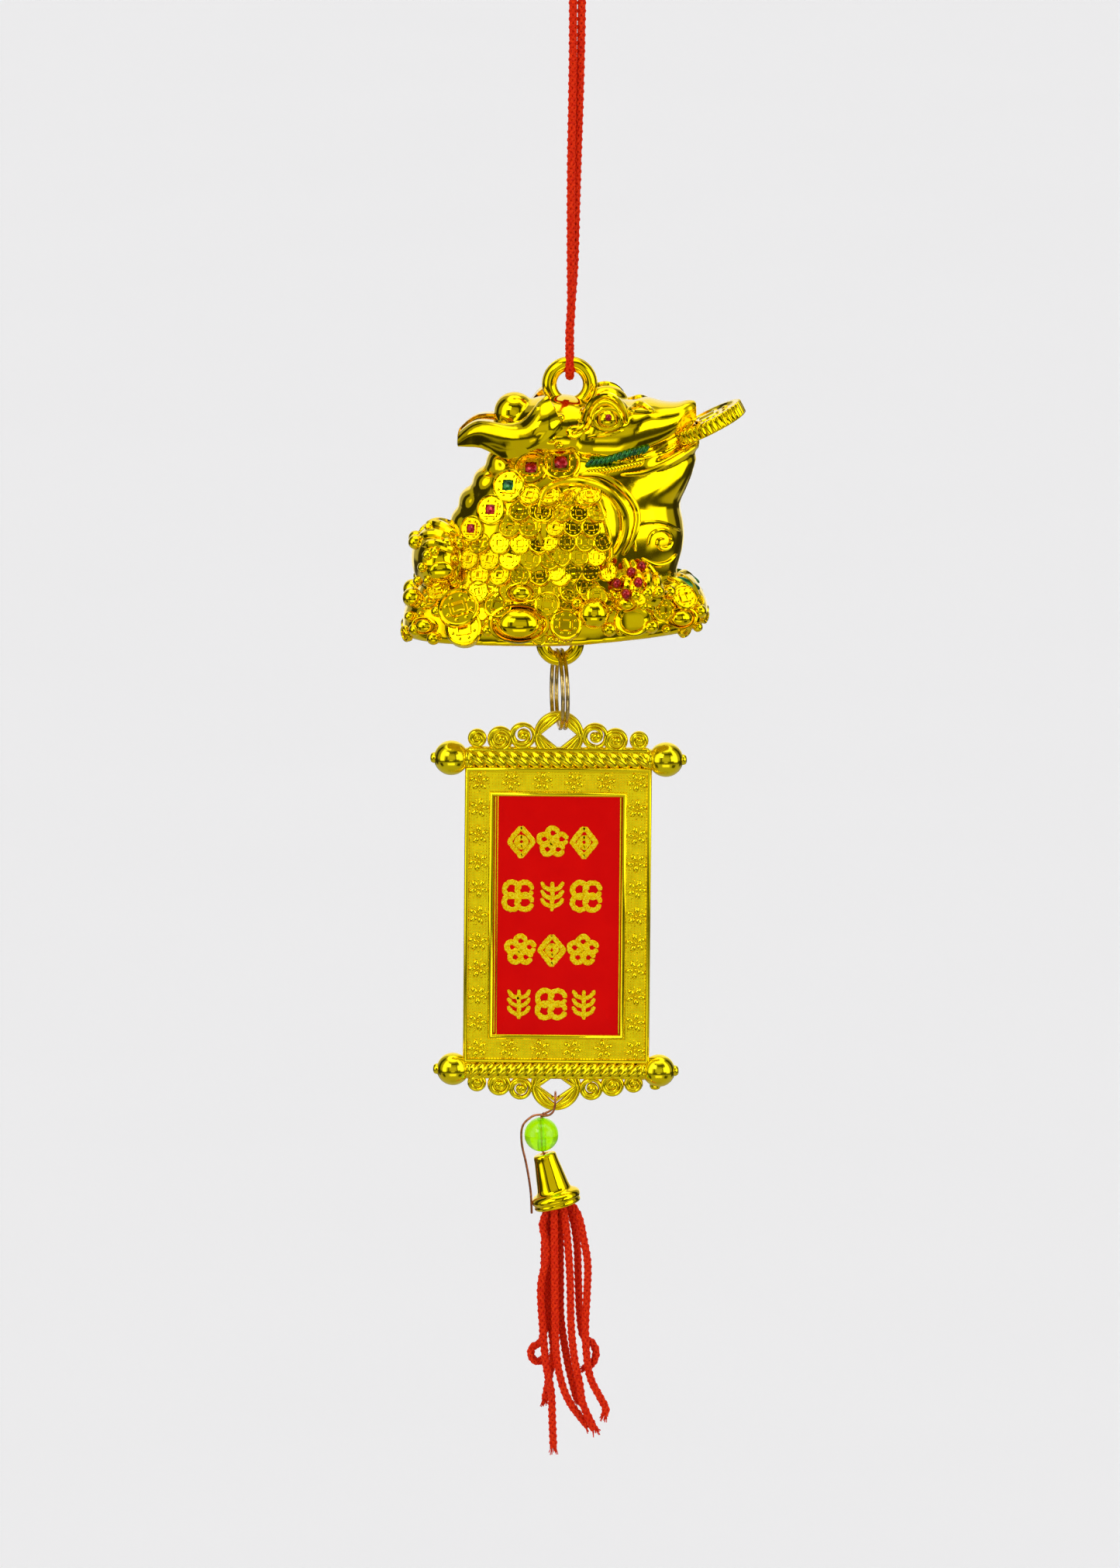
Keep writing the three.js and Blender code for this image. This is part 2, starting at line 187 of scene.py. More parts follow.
def sweep(points, across, up=None, sides=10, closed=False, rounded=True):
    """A bar along a line. across and up are its half sizes, each a number or one per point."""
    line = np.array([tuple(p) for p in points], float)
    wide = np.broadcast_to(np.asarray(across, float), len(line)).copy()
    high = wide if up is None else np.broadcast_to(np.asarray(up, float), len(line)).copy()
    ahead, side, top = carried(line, closed)
    if rounded and not closed:
        for end, way in ((0, -1), (-1, 1)):
            base, size = line[end], min(wide[end], high[end])
            extra = [base + way * ahead[end] * size * k for k in (0.5, 0.86)]
            shrink = [0.86, 0.5]
            if end == 0:
                line = np.vstack([extra[::-1], line])
                wide = np.concatenate([[wide[0] * s for s in shrink[::-1]], wide])
                high = np.concatenate([[high[0] * s for s in shrink[::-1]], high])
                side, top = np.vstack([side[:1]] * 2 + [side]), np.vstack([top[:1]] * 2 + [top])
                ahead = np.vstack([ahead[:1]] * 2 + [ahead])
            else:
                line = np.vstack([line, extra])
                wide = np.concatenate([wide, [wide[-1] * s for s in shrink]])
                high = np.concatenate([high, [high[-1] * s for s in shrink]])
                side, top = np.vstack([side] + [side[-1:]] * 2), np.vstack([top] + [top[-1:]] * 2)
    angle = np.arange(sides) * TURN / sides
    rings = (line[:, None] + np.cos(angle)[None, :, None] * (side * wide[:, None])[:, None]
             + np.sin(angle)[None, :, None] * (top * high[:, None])[:, None])
    return rings_to_skin([[tuple(p) for p in ring] for ring in rings], closed)


def lathe(profile, steps=40):
    """Turns (radius, height) points round Z: up the outside, and ending on the axis or at the start."""
    loop = profile[0] == profile[-1]
    outline = profile[:-1] if loop else profile
    rings = [[(r * math.cos(a), r * math.sin(a), z) for a in np.arange(steps) * TURN / steps]
             for r, z in outline]
    if loop:
        return rings_to_skin(rings, closed=True)
    inner = rings[1:-1]
    verts, faces = rings_to_skin(inner)
    verts[-2] = (0, 0, outline[0][1])
    verts[-1] = (0, 0, outline[-1][1])
    return verts, faces


def ball(r=1.0, steps=20):
    half = max(5, steps // 2)
    return lathe([(r * math.sin(math.pi * i / half), -r * math.cos(math.pi * i / half))
                  for i in range(half + 1)], steps)


def lump(at, size, tilt=0, steps=28):
    """An ellipsoid in place, as (skin, place). tilt raises its +X end."""
    return ball(1, steps), move(*at) @ turn(-tilt, 'Y') @ stretch(*size)


def ring(r, tube, sides=12, steps=48):
    """A torus round Z."""
    circle = [(r + tube * math.cos(a), tube * math.sin(a)) for a in np.arange(sides) * TURN / sides]
    return lathe([*circle, circle[0]], steps)


def coin(r, thick=0.5, hole=0.27, steps=24, marks=True):
    """A round coin with a square hole, facing +Z: raised rims and four plain studs round the hole."""
    square = [hole * r / max(abs(math.cos(a)), abs(math.sin(a)))
              for a in np.arange(steps) * TURN / steps]
    rise = 0.12 * r
    stations = [('circle', 1.0, -thick), ('circle', 1.0, 0), ('circle', 0.97, 0.7 * rise),
                ('circle', 0.92, rise),
                ('circle', 0.86, 0.8 * rise), ('circle', 0.80, -0.02 * r), ('square', 1.6, -0.02 * r),
                ('square', 1.4, rise), ('square', 1.05, rise), ('square', 0.9, -0.12 * r),
                ('square', 0.3, -0.12 * r)]
    rings = []
    for kind, share, z in stations:
        radii = [r * share] * steps if kind == 'circle' else [s * share for s in square]
        rings.append([(q * math.cos(a), q * math.sin(a), z)
                      for q, a in zip(radii, np.arange(steps) * TURN / steps)])
    made = Shape().add(rings_to_skin(rings))
    if marks:
        for k in range(8):
            a = TURN * (k + 0.5) / 8
            stud = lathe([(0, -0.3), (0.11 * r, -0.3), (0.09 * r, 0.05 * r), (0, 0.1 * r)], 6)
            made.add(stud, move(0.62 * r * math.cos(a), 0.62 * r * math.sin(a), 0))
    return made.verts, made.faces


def ingot(long, wide):
    """A boat-shaped ingot seen from above (+Z), with a round top in an oval rim."""
    rim = lathe([(0, -1.4), (0.75, -1.1), (1.0, -0.1), (0.97, 0.06), (0.9, 0.08), (0.8, -0.1),
                 (0.72, -0.3), (0, -0.3)], 40)
    made = Shape().add(rim, stretch(long, wide, wide))
    made.add(ball(1, 26), move(0, 0, -0.1 * wide) @ stretch(0.66 * long, 0.76 * wide, 0.6 * wide))
    return made.verts, made.faces


def braid(points, diameter, pitch, yarns=4, step=0.22, fray=0):
    """A braided cord: yarns run each way round a core, over and under one another."""
    line, along = evenly(points, step)
    _, side, top = carried(line)
    thick, wide, wave = 0.14 * diameter, 0.175 * diameter, 0.08 * diameter
    mean = 0.54 * diameter - thick - wave
    made = Shape().add(sweep(line, mean * 0.9, sides=8, rounded=False))
    made.core = len(made.faces)
    section = np.arange(8) * TURN / 8
    for way in (1, -1):
        for k in range(yarns):
            phase = TURN * along / pitch
            angle = TURN * k / yarns + way * phase
            out = np.cos(angle)[:, None] * side + np.sin(angle)[:, None] * top
            radius = mean + way * wave * np.cos(yarns * phase)
            middle = line + out * radius[:, None]
            ahead = np.gradient(middle, axis=0)
            across = np.cross(ahead, out)
            across /= np.linalg.norm(across, axis=1)[:, None]
            rings = (middle[:, None] + np.cos(section)[None, :, None] * (out * thick)[:, None]
                     - np.sin(section)[None, :, None] * (across * wide)[:, None])
            made.add(rings_to_skin([[tuple(p) for p in r] for r in rings]))
    for end in (0, -1):
        away = line[end] - line[1 if end == 0 else -2]
        away /= np.linalg.norm(away)
        for k in range(fray):
            a, r = chance.uniform(0, TURN), mean * math.sqrt(chance.random())
            start = line[end] + r * (math.cos(a) * side[end] + math.sin(a) * top[end]) - away * 0.4
            spread = (math.cos(a) * side[end] + math.sin(a) * top[end]) * chance.uniform(0.1, 0.6)
            length = chance.uniform(0.5, 1.3)
            tip = start + away * (length + 0.4) + spread
            mid = (start + tip) / 2 + away * 0.15
            made.add(sweep([start, mid, tip], 0.09, sides=5, rounded=False))
    return made


def braid_object(shape, name):
    """A braid whose core, seen between the yarns, takes a darker red: painted shade in the gaps between the
    yarns.
    """
    piece = shape.to_object(name, RED_CORD, sharp=0)
    # the core's faces take the darker red of painted shade
    piece.data.materials.append(RED_CORE_SHADE)
    for face in piece.data.polygons[:shape.core]:
        face.material_index = 1
    return piece


def settle(piece, body, slot, *nodes):
    """Hides the frame nodes that the piece stands for and hangs the piece on the body that carries it, if
    there is one. slot is not used.
    """
    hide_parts(*nodes)
    if body:
        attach(piece, body)


# ---------------------------------------------------------------- materials


class Look:
    """A node material with one Principled shader."""

    def __init__(self, name, colour, roughness, metallic=0.0):
        self.material = bpy.data.materials.new(name)
        self.material.use_nodes = True
        self.nodes = self.material.node_tree.nodes
        self.links = self.material.node_tree.links
        self.shader = self.nodes['Principled BSDF']
        self.set('Metallic', metallic)
        self.set('Roughness', roughness)
        self.set('Base Color', (*colour, 1))
        self.place = self.nodes.new('ShaderNodeTexCoord').outputs['Object']

    def set(self, name, value):
        self.shader.inputs[name].default_value = value
        return self

    def noise(self, scale, detail=3.0, place=None):
        node = self.nodes.new('ShaderNodeTexNoise')
        node.inputs['Scale'].default_value = scale
        node.inputs['Detail'].default_value = detail
        self.links.new(place or self.place, node.inputs['Vector'])
        return node.outputs['Fac']

    def cells(self, scale):
        node = self.nodes.new('ShaderNodeTexVoronoi')
        node.inputs['Scale'].default_value = scale
        self.links.new(self.place, node.inputs['Vector'])
        return node

    def ramp(self, value, stops):
        node = self.nodes.new('ShaderNodeValToRGB')
        while len(node.color_ramp.elements) < len(stops):
            node.color_ramp.elements.new(0.5)
        for element, (position, colour) in zip(node.color_ramp.elements, stops):
            element.position = position
            element.color = (*colour, 1)
        self.links.new(value, node.inputs['Fac'])
        return node.outputs['Color']

    def span(self, value, low, high):
        node = self.nodes.new('ShaderNodeMapRange')
        node.inputs['To Min'].default_value = low
        node.inputs['To Max'].default_value = high
        self.links.new(value, node.inputs['Value'])
        return node.outputs['Result']

    def feed(self, value, name):
        self.links.new(value, self.shader.inputs[name])
        return self

    def bump(self, height, strength, distance_mm):
        node = self.nodes.new('ShaderNodeBump')
        node.inputs['Strength'].default_value = strength
        node.inputs['Distance'].default_value = distance_mm * MM
        self.links.new(height, node.inputs['Height'])
        self.links.new(node.outputs['Normal'], self.shader.inputs['Normal'])
        return self


def gold_look(name, roughness, waviness, colour):
    """Bright yellow plating on moulded plastic: a faint ripple and a slightly uneven gloss."""
    look = Look(name, colour, roughness, 1.0)
    r, g, b = colour
    look.feed(look.ramp(look.noise(420, 4), [(0.3, (0.97 * r, 0.92 * g, b)), (0.7, (r, 1.03 * g, b))]),
              'Base Color')
    look.feed(look.span(look.noise(900, 3), roughness * 0.6, roughness * 1.5), 'Roughness')
    look.bump(look.noise(650, 2), waviness, 0.05)
    return look.material


def metal_look(name, dark, light, roughness):
    look = Look(name, light, roughness, 1.0)
    look.feed(look.ramp(look.noise(1500, 3), [(0.3, dark), (0.7, light)]), 'Base Color')
    look.feed(look.span(look.noise(2500, 2), roughness * 0.7, roughness * 1.4), 'Roughness')
    look.bump(look.noise(3000, 2), 0.1, 0.02)
    return look.material


def cord_look(name, dark, light):
    """Shiny nylon yarn of uneven colour."""
    look = Look(name, light, 0.55)
    look.feed(look.ramp(look.noise(2600, 3), [(0.3, dark), (0.7, light)]), 'Base Color')
    fibres = look.nodes.new('ShaderNodeTexWave')
    fibres.inputs['Scale'].default_value = 2600
    fibres.inputs['Distortion'].default_value = 4
    look.links.new(look.place, fibres.inputs['Vector'])
    look.bump(fibres.outputs['Fac'], 0.5, 0.04)
    look.set('Specular IOR Level', 0.1)
    return look.material


def panel_look():
    look = Look('red_card', (0.68, 0.0, 0.0), 0.42)
    look.feed(look.ramp(look.noise(160, 2), [(0.3, (0.66, 0.0, 0.0)), (0.7, (0.72, 0.001, 0.0))]),
              'Base Color')
    look.feed(look.span(look.noise(700, 3), 0.36, 0.5), 'Roughness')
    look.bump(look.noise(1800, 2), 0.06, 0.02)
    return look.set('Specular IOR Level', 0.05).material


def glitter_look():
    """Gold glitter powder: each grain its own tint and tilt."""
    look = Look('gold_glitter', (0.95, 0.62, 0.0), 0.4, 0.5)
    grains = look.cells(5200)
    tint = look.nodes.new('ShaderNodeSeparateColor')
    look.links.new(grains.outputs['Color'], tint.inputs['Color'])
    look.feed(look.ramp(tint.outputs['Red'], [(0.0, (0.85, 0.42, 0.0)), (0.45, (1.0, 0.68, 0.0)),
                                              (1.0, (1.0, 0.88, 0.03))]), 'Base Color')
    look.feed(look.span(tint.outputs['Green'], 0.2, 0.6), 'Roughness')
    look.bump(tint.outputs['Blue'], 0.5, 0.05)
    return look.set('Specular IOR Level', 0.0).material


def paint_look(name, dark, light):
    """Clear coloured lacquer over the plating, thicker in some places."""
    look = Look(name, light, 0.22, 0.5)
    look.feed(look.ramp(look.noise(1400, 3), [(0.35, dark), (0.65, light)]), 'Base Color')
    look.bump(look.noise(2200, 2), 0.4, 0.06)
    return look.set('Coat Weight', 0.3).set('Coat Roughness', 0.1).material


def bead_look():
    look = Look('lime_plastic_painted_glow', (0.5, 0.92, 0.0), 0.06)
    look.feed(look.ramp(look.noise(300, 2), [(0.3, (0.42, 0.84, 0.0)), (0.7, (0.56, 0.96, 0.0))]),
              'Base Color')
    look.set('Transmission Weight', 0.75).set('IOR', 1.46)
    # painted glow: a faint lime emission makes the bead glow as if lit from within
    look.set('Emission Color', (0.38, 0.8, 0.0, 1)).set('Emission Strength', 0.1)
    look.bump(look.noise(500, 2), 0.04, 0.03)
    return look.material


GOLD = gold_look('gold_plating_bright', 0.10, 0.10, (1.0, 0.745, 0.002))
GOLD_RELIEF = gold_look('gold_plating_relief', 0.16, 0.16, (1.0, 0.8, 0.008))
RED_CORD = cord_look('red_nylon', (0.62, 0.006, 0.0), (0.92, 0.045, 0.002))
# painted shade: a darker copy of the red nylon for the braid's core, standing in for the shade in the gaps
# between the yarns
RED_CORE_SHADE = cord_look('red_nylon_core_painted_shade', (0.25, 0.001, 0.0), (0.36, 0.004, 0.0))
BRASS = metal_look('brass_wire_bright', (0.42, 0.27, 0.06), (0.78, 0.58, 0.20), 0.2)
COPPER = metal_look('copper_wire_bright', (0.35, 0.10, 0.04), (0.70, 0.26, 0.12), 0.28)
RED_CARD = panel_look()
GLITTER = glitter_look()
RED_PAINT = paint_look('red_lacquer', (0.2, 0.0, 0.0), (0.56, 0.002, 0.003))
GREEN_PAINT = paint_look('green_lacquer', (0.0, 0.05, 0.008), (0.02, 0.24, 0.02))
LIME = bead_look()

# ---------------------------------------------------------------- camera

PICTURE_HIGH = 2023  # of a picture 1445 wide
PER_MM = 7.4  # picture points to a millimetre at the charm
VIEW_DOWN = 10  # degrees above the horizon
CAMERA_FAR = 2500
LOOK_AT = Vector((-3.04, 0, -141.8))


def make_camera():
    data = bpy.data.cameras.new('camera')
    data.sensor_fit = 'VERTICAL'
    data.sensor_height = 36
    data.lens = data.sensor_height * PER_MM * CAMERA_FAR / PICTURE_HIGH
    data.clip_start, data.clip_end = 0.01, 200
    camera = bpy.data.objects.new('camera', data)
    down = math.radians(VIEW_DOWN)
    back = Vector((0, -math.cos(down), math.sin(down)))
    camera.location = (LOOK_AT + back * CAMERA_FAR) * MM
    camera.rotation_euler = (-back).to_track_quat('-Z', 'Y').to_euler()
    bpy.context.scene.collection.objects.link(camera)
    bpy.context.scene.camera = camera


make_camera()

# ---------------------------------------------------------------- cords

CORD_LINE = [(0, 2.2), (0, 0), (-0.1, -12), (-0.3, -22), (-0.55, -32), (-0.7, -40), (-0.85, -50),
             (-1.1, -58)]
STRAND_OFFSET = 0.78
EYE_TUBE_Z = -67.8  # the middle of the top ring's tube, where the cord bears
BIGHT_REACH = 2.15  # from the middle of that tube to the middle of the cord round it
CORD_PITCH, KNOT_PITCH, STRAND_PITCH = 5.6, 5.0, 4.8  # the length of one turn of a yarn
CORD_FRAY, STRAND_FRAY = 16, 14  # loose fibres at a cut end
KNOT_Z, KNOT_POINTS = 2.6, 60
KNOT_WIDE, KNOT_DEEP, KNOT_HIGH, KNOT_SLIM = 0.8, 0.85, 0.72, 0.92  # KNOT_SLIM: the cord drawn tight


def strand_points(side):
    """One strand: beside the other at the knot, and in front of it or behind it at the ring."""
    points = []
    for x, z in CORD_LINE:
        angle = math.radians(np.interp(-z, (0, 11, 34, 50, 58), (5, 28, 48, 68, 90)))
        out = side * STRAND_OFFSET
        points.append((x + out * math.cos(angle), out * math.sin(angle), z))
    return points


def cord_points():
    """The whole cord: down one strand, under the ring's tube and up the other strand."""
    under = [(-1.35, BIGHT_REACH * math.sin(a), EYE_TUBE_Z - BIGHT_REACH * math.cos(a))
             for a in (math.radians(d) for d in (-70, -40, 0, 40, 70))]
    down = strand_points(-1) + [(-1.35, -1.1, -62), (-1.35, -BIGHT_REACH, -67.0)]
    up = [(-1.35, BIGHT_REACH, -67.0), (-1.35, 1.1, -62)] + strand_points(1)[::-1]
    return down + under + up


def make_cord():
    line, along = evenly(spline(cord_points(), 0.5), 0.5)
    cord = braid_object(braid(line, CORD_D, CORD_PITCH), 'hanging_cord')
    settle(cord, None, 'red_cord', 'cord_strand_left', 'cord_strand_right', 'cord_bight')
    turns = [(KNOT_WIDE * (math.sin(t) + 1.3 * math.sin(2 * t)),
              KNOT_DEEP * math.sin(3 * t),
              KNOT_HIGH * (math.cos(t) - 2 * math.cos(2 * t)) + KNOT_Z)
             for t in np.arange(KNOT_POINTS) * TURN / KNOT_POINTS]
    knot = braid_object(braid([*turns, turns[0]], CORD_D * KNOT_SLIM, KNOT_PITCH), 'knot')
    settle(knot, 'hanger', 'red_cord', 'cord_knot')
    for name, side in (('left', -1), ('right', 1)):
        route = [(side * 0.9, 0, 3.6), (side * 1.1, 0, 5.0), (side * 1.6, 0.2, 7), (side * 2.5, 0.4, 9.2)]
        tail = braid_object(braid(spline(route, 0.4), CORD_D, CORD_PITCH, fray=CORD_FRAY),
                            f'knot_tail_{name}')
        settle(tail, 'hanger', 'red_cord', f'cord_tail_{name}')
    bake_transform(cord)


TASSEL_ROUTES = [
    [(-5.25, -0.7, -215.3), (-5.5, -0.9, -217.8), (-6.1, -1.0, -219.9), (-5.9, -1.0, -221.4),
     (-5.4, -1.1, -223.4), (-5.4, -1.1, -226), (-6.4, -1.1, -231), (-6.1, -1.1, -238),
     (-5.5, -1.1, -245), (-4.6, -1.0, -250), (-4.4, -0.6, -255), (-4.2, -0.4, -260.2)],
    [(-4.12, -1.62, -215.3), (-4.0, -1.6, -225), (-3.9, -1.5, -235), (-3.7, -1.3, -243),
     (-2.7, -1.2, -248.5), (-1.3, -0.8, -252), (0.3, -0.1, -254.4), (1.9, 0.7, -256.6)],
    [(-2.73, -1.31, -215.3), (-1.9, -1.4, -221), (-1.3, -1.4, -229), (-1.1, -1.3, -238),
     (-0.5, -1.2, -244), (0.4, -1.1, -248.5), (1.0, -1.1, -252.2), (3.0, -1.1, -256.7)],
    [(-2.09, 0, -215.3), (0.1, -0.4, -218.4), (1.1, -0.8, -222.6), (1.8, -0.9, -227),
     (1.7, -0.9, -232), (1.4, -0.9, -238), (1.6, -0.9, -243), (2.3, -0.9, -247.5), (4.0, -0.9, -251),
     (5.0, -0.8, -253), (4.75, -0.8, -254.3)],
    [(-2.71, 1.29, -215.3), (-1.1, 1.5, -218.4), (-0.1, 1.4, -223.5), (0.15, 1.2, -230), (0.4, 1.0, -236),
     (1.0, 1.0, -240.3), (2.6, 0.9, -241.6), (3.3, 0.9, -243.4), (2.6, 1.0, -245.4), (1.2, 1.3, -246.2)],
    [(-4.12, 1.62, -215.3), (-4.8, 1.7, -223), (-4.9, 1.6, -230), (-4.8, 1.5, -237), (-4.2, 1.3, -243),
     (-4.9, 1.1, -247.5), (-5.7, 0.9, -251.9)],
    [(-5.24, 0.73, -215.3), (-5.7, 1.0, -222), (-5.8, 0.9, -231), (-5.7, 0.7, -238),
     (-6.4, 0.5, -241.3), (-7.9, 0.4, -242.3), (-8.1, 0.5, -243.9), (-7.0, 0.8, -245.0),
     (-5.8, 1.6, -244.4)],
    [(-3.75, 0, -215.3), (-3.1, 0.1, -221), (-3.0, 0.15, -230), (-2.9, 0.3, -237),
     (-1.9, 0.7, -244), (-1.0, 0.9, -248.2), (-0.1, 1.3, -251.8)],
]


def make_tassel():
    for number, route in enumerate(TASSEL_ROUTES, 1):
        line, along = evenly(spline(route, 0.4), 0.4)
        name = f'tassel_cord_{number}'
        strand = braid_object(braid(line, STRAND_D, STRAND_PITCH, fray=STRAND_FRAY), name)
        settle(strand, None, 'red_cord', f'tassel_strand_{number}')
        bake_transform(strand)


make_cord()
make_tassel()

# ---------------------------------------------------------------- the toad

SIGHT = math.radians(VIEW_DOWN)
SEEN_UP = Vector((0, math.sin(SIGHT), math.cos(SIGHT)))
SEEN_IN = Vector((0, math.cos(SIGHT), -math.sin(SIGHT)))


def egg(rows, steps=56, power=2.3, narrow=0.22, between=0.6, along='Z', rise=0.0):
    """A solid through rounded sections (place, low side, high side, half depth), narrower at its high side.

    The sections are level ones up the Z axis, or upright ones along the X axis. rise lifts the part of
    level sections that is right of the middle.
    """
    levels = spline([(z, left, right) for z, left, right, _ in rows], between)
    depths = spline([(z, deep, 0) for z, _, _, deep in rows], between)
    rings = []
    for (z, left, right), (_, deep, _) in zip(levels, depths):
        ring_points = []
        for a in np.arange(steps) * TURN / steps:
            c, s = math.cos(a), math.sin(a)
            x = math.copysign(abs(c) ** (2 / power), c)
            y = math.copysign(abs(s) ** (2 / power), s) * (1 - narrow * max(0, x))
            wide = (left + right) / 2 + x * (right - left) / 2
            ring_points.append((wide, y * deep, z + rise * max(0, wide)) if along == 'Z' else (z,
                                                                                               y * deep,
                                                                                               wide))
        rings.append(ring_points if along == 'Z' else ring_points[::-1])
    return rings_to_skin(rings)


TRUNK = [(-44, -19, 16, 9), (-40, -22, 18.4, 11.4), (-36, -22.0, 18.6, 12.0), (-32.5, -21.4, 18.7, 12.0),
         (-28, -20.6, 19.8, 11.8), (-24.5, -19.9, 19.8, 11.6), (-21, -18.5, 19.2, 11.2),
         (-18, -16.5, 20.4, 10.6), (-15, -14.3, 21.5, 9.6), (-12, -11.8, 21.6, 7.8), (-9.5, -9, 16, 5.4),
         (-7.8, -4, 9, 3)]
HEAP = [(-44.2, -27.6, 21.5, 12.4), (-43.4, -28.9, 23.3, 13.0), (-41, -29.0, 24.0, 13.0),
        (-39, -28.6, 23.6, 12.7), (-37, -27.6, 22.6, 11.9), (-35, -25.4, 21, 10.6), (-33.6, -22, 18, 9)]

SNOUT = [(4, -14.5, -3.4, 8.2), (8, -14.6, -3.2, 8.1), (11, -13.6, -2.9, 7.6), (13.5, -12.6, -2.4, 6.9),
         (16, -11.2, -3.0, 6.0), (18.6, -9.2, -3.2, 4.9), (20.6, -7.4, -2.8, 3.9), (22.0, -6.2, -3.0, 2.6),
         (22.6, -5.2, -3.9, 1.2)]
JAW = [(8, -17.4, -14.2, 6.0), (12, -16.9, -13.3, 6.7), (15, -15.9, -12.2, 6.4), (18, -14.4, -10.9, 5.5),
       (20.8, -12.5, -9.8, 4.2), (22.6, -11.0, -9.0, 2.8), (23.4, -10.2, -9.3, 1.3)]

CORE_LUMPS = [
    lump((14.5, 0, -11.0), (6.0, 4.4, 2.6), tilt=28),  # what fills the mouth behind the coin
    lump((-2, 0, -8), (9.0, 8.4, 6.2)),  # back of the head
    lump((6, 0, -9), (11, 8.2, 6.6)),  # skull
    lump((-22.6, 0, -30.5), (5.0, 8.2, 6.0)),  # rump
    lump((1.8, -8.4, -25.6), (7.4, 4.8, 10.2), tilt=-14),  # thighs
    lump((1.8, 8.4, -25.6), (7.4, 4.8, 10.2), tilt=-14),
    lump((6.4, -5.6, -4.9), (4.3, 3.0, 3.9)),  # brows
    lump((6.4, 5.6, -4.9), (4.3, 3.0, 3.9)),
    lump((12.5, -9.3, -35.0), (4.4, 4.0, 3.4), tilt=-20),  # front feet
    lump((12.5, 9.3, -35.0), (4.4, 4.0, 3.4), tilt=-20),
    lump((-11.4, 0, -13.8), (3.2, 4.4, 3.2)),  # bumps down the back
    lump((-13.8, 0, -17.4), (3.2, 4.8, 3.2)),
    lump((-16.3, 0, -20.8), (3.1, 4.8, 3.1)),
    lump((-17.9, 0, -24.2), (2.9, 4.8, 3.0)),
    lump((-9.6, 0, -5.0), (3.65, 3.65, 3.65)),  # ball behind the head
]


def shown_mesh(piece):
    """The piece's mesh with its modifiers applied; the piece itself is removed."""
    graph = bpy.context.evaluated_depsgraph_get()
    mesh = bpy.data.meshes.new_from_object(piece.evaluated_get(graph))
    bpy.data.objects.remove(piece)
    return mesh


def melt(shape, voxel, smoothing):
    """One smooth skin round every solid in the shape, still in millimetres."""
    mesh = bpy.data.meshes.new('melting')
    mesh.from_pydata(shape.verts, [], shape.faces)
    piece = bpy.data.objects.new('melting', mesh)
    bpy.context.scene.collection.objects.link(piece)
    remesh = piece.modifiers.new('remesh', 'REMESH')
    remesh.mode, remesh.voxel_size = 'VOXEL', voxel
    smooth = piece.modifiers.new('smooth', 'SMOOTH')
    smooth.factor, smooth.iterations = 0.5, smoothing
    return shown_mesh(piece)


class Skin:
    """The toad's skin, with places on it given as seen from the front: u to the right and v up."""

    def __init__(self, mesh):
        solid = bmesh.new()
        solid.from_mesh(mesh)
        self.tree = BVHTree.FromBMesh(solid)
        solid.free()

    def hit(self, u, v):
        start = Vector((u, 0, 0)) + SEEN_UP * v - SEEN_IN * 100
        point, normal, _, _ = self.tree.ray_cast(start, SEEN_IN)
        return (None, None) if point is None or point.y > 0 else (point, normal)

    def spot(self, u, v, around=0.7):
        """The point at (u, v), or the last one before the edge, and the direction that the skin faces."""
        point, normal = self.hit(u, v)
        pull = 0
        while point is None and pull < 1:
            pull += 0.02
            point, normal = self.hit(u + (0 - u) * pull, v + (-25 - v) * pull)
        for du, dv in ((around, 0), (-around, 0), (0, around), (0, -around)):
            _, other = self.hit(point.x + du, v + dv)
            if other is not None:
                normal = normal + other
        return point, normal.normalized()

    def place(self, u, v, lift=0.0, lean=0.0, facing=0.0, spin=0.0):
        """A frame on the skin, Z out and Y up. lean tips its top inwards; facing turns Z to the view."""
        point, normal = self.spot(u, v)
        out = normal.lerp(-SEEN_IN, facing).normalized()
        across = Vector((0, 0, 1)).cross(out)
        across = across.normalized() if across.length > 0.2 else Vector((1, 0, 0))
        up = out.cross(across)
        base = Matrix((across, up, out)).transposed().to_4x4()
        return (move(*(point + out * lift)) @ base @ turn(lean, 'X') @ turn(spin, 'Z'))

    def path(self, knots, lift=0.0, step=0.4):
        points = []
        for u, v, _ in spline([(u, v, 0) for u, v in knots], step):
            point, normal = self.spot(u, v)
            points.append(point + normal * lift)
        line, _ = evenly(points, step)
        for _ in range(3):
            line[1:-1] = (line[:-2] + 2 * line[1:-1] + line[2:]) / 4
        return line


def ridge(shape, skin, knots, size, lift=0.0, taper=True, sides=10):
    """A raised line on the skin."""
    line = skin.path(knots, lift)
    share = np.linspace(0, 1, len(line))
    width = size * (0.45 + 0.55 * np.sin(np.pi * share) ** 0.5) if taper else size
    shape.add(sweep(line, width, sides=sides))


CHAIN = [(-16.8, -25.2, 2.35, 'red'), (-13.5, -22.0, 2.75, 'red'), (-10.5, -17.9, 3.05, 'green'),
         (-6.6, -14.9, 3.05, 'red'), (-1.5, -14.0, 3.4, 'red')]


def gem(r):
    """A square cushion of lacquer that fills a coin's hole."""
    rings = []
    for size, z in ((1.0, -0.4), (1.0, 0.1), (0.86, 0.42), (0.45, 0.56)):
        rings.append([(size * r * x, size * r * y, z * r * 1.1)
                      for x, y in ((1, -0.5), (1, 0.5), (0.5, 1), (-0.5, 1), (-1, 0.5), (-1, -0.5),
                                   (-0.5, -1), (0.5, -1))])
    return rings_to_skin(rings)


def add_chain(gold, paint, skin):
    for u, v, r, colour in CHAIN:
        place = skin.place(u, v, lift=0.55, facing=0.35)
        gold.add(coin(r, thick=1.4, hole=0.3, steps=32), place)
        paint[colour].add(gem(0.36 * r), place @ turn(12, 'Z'))


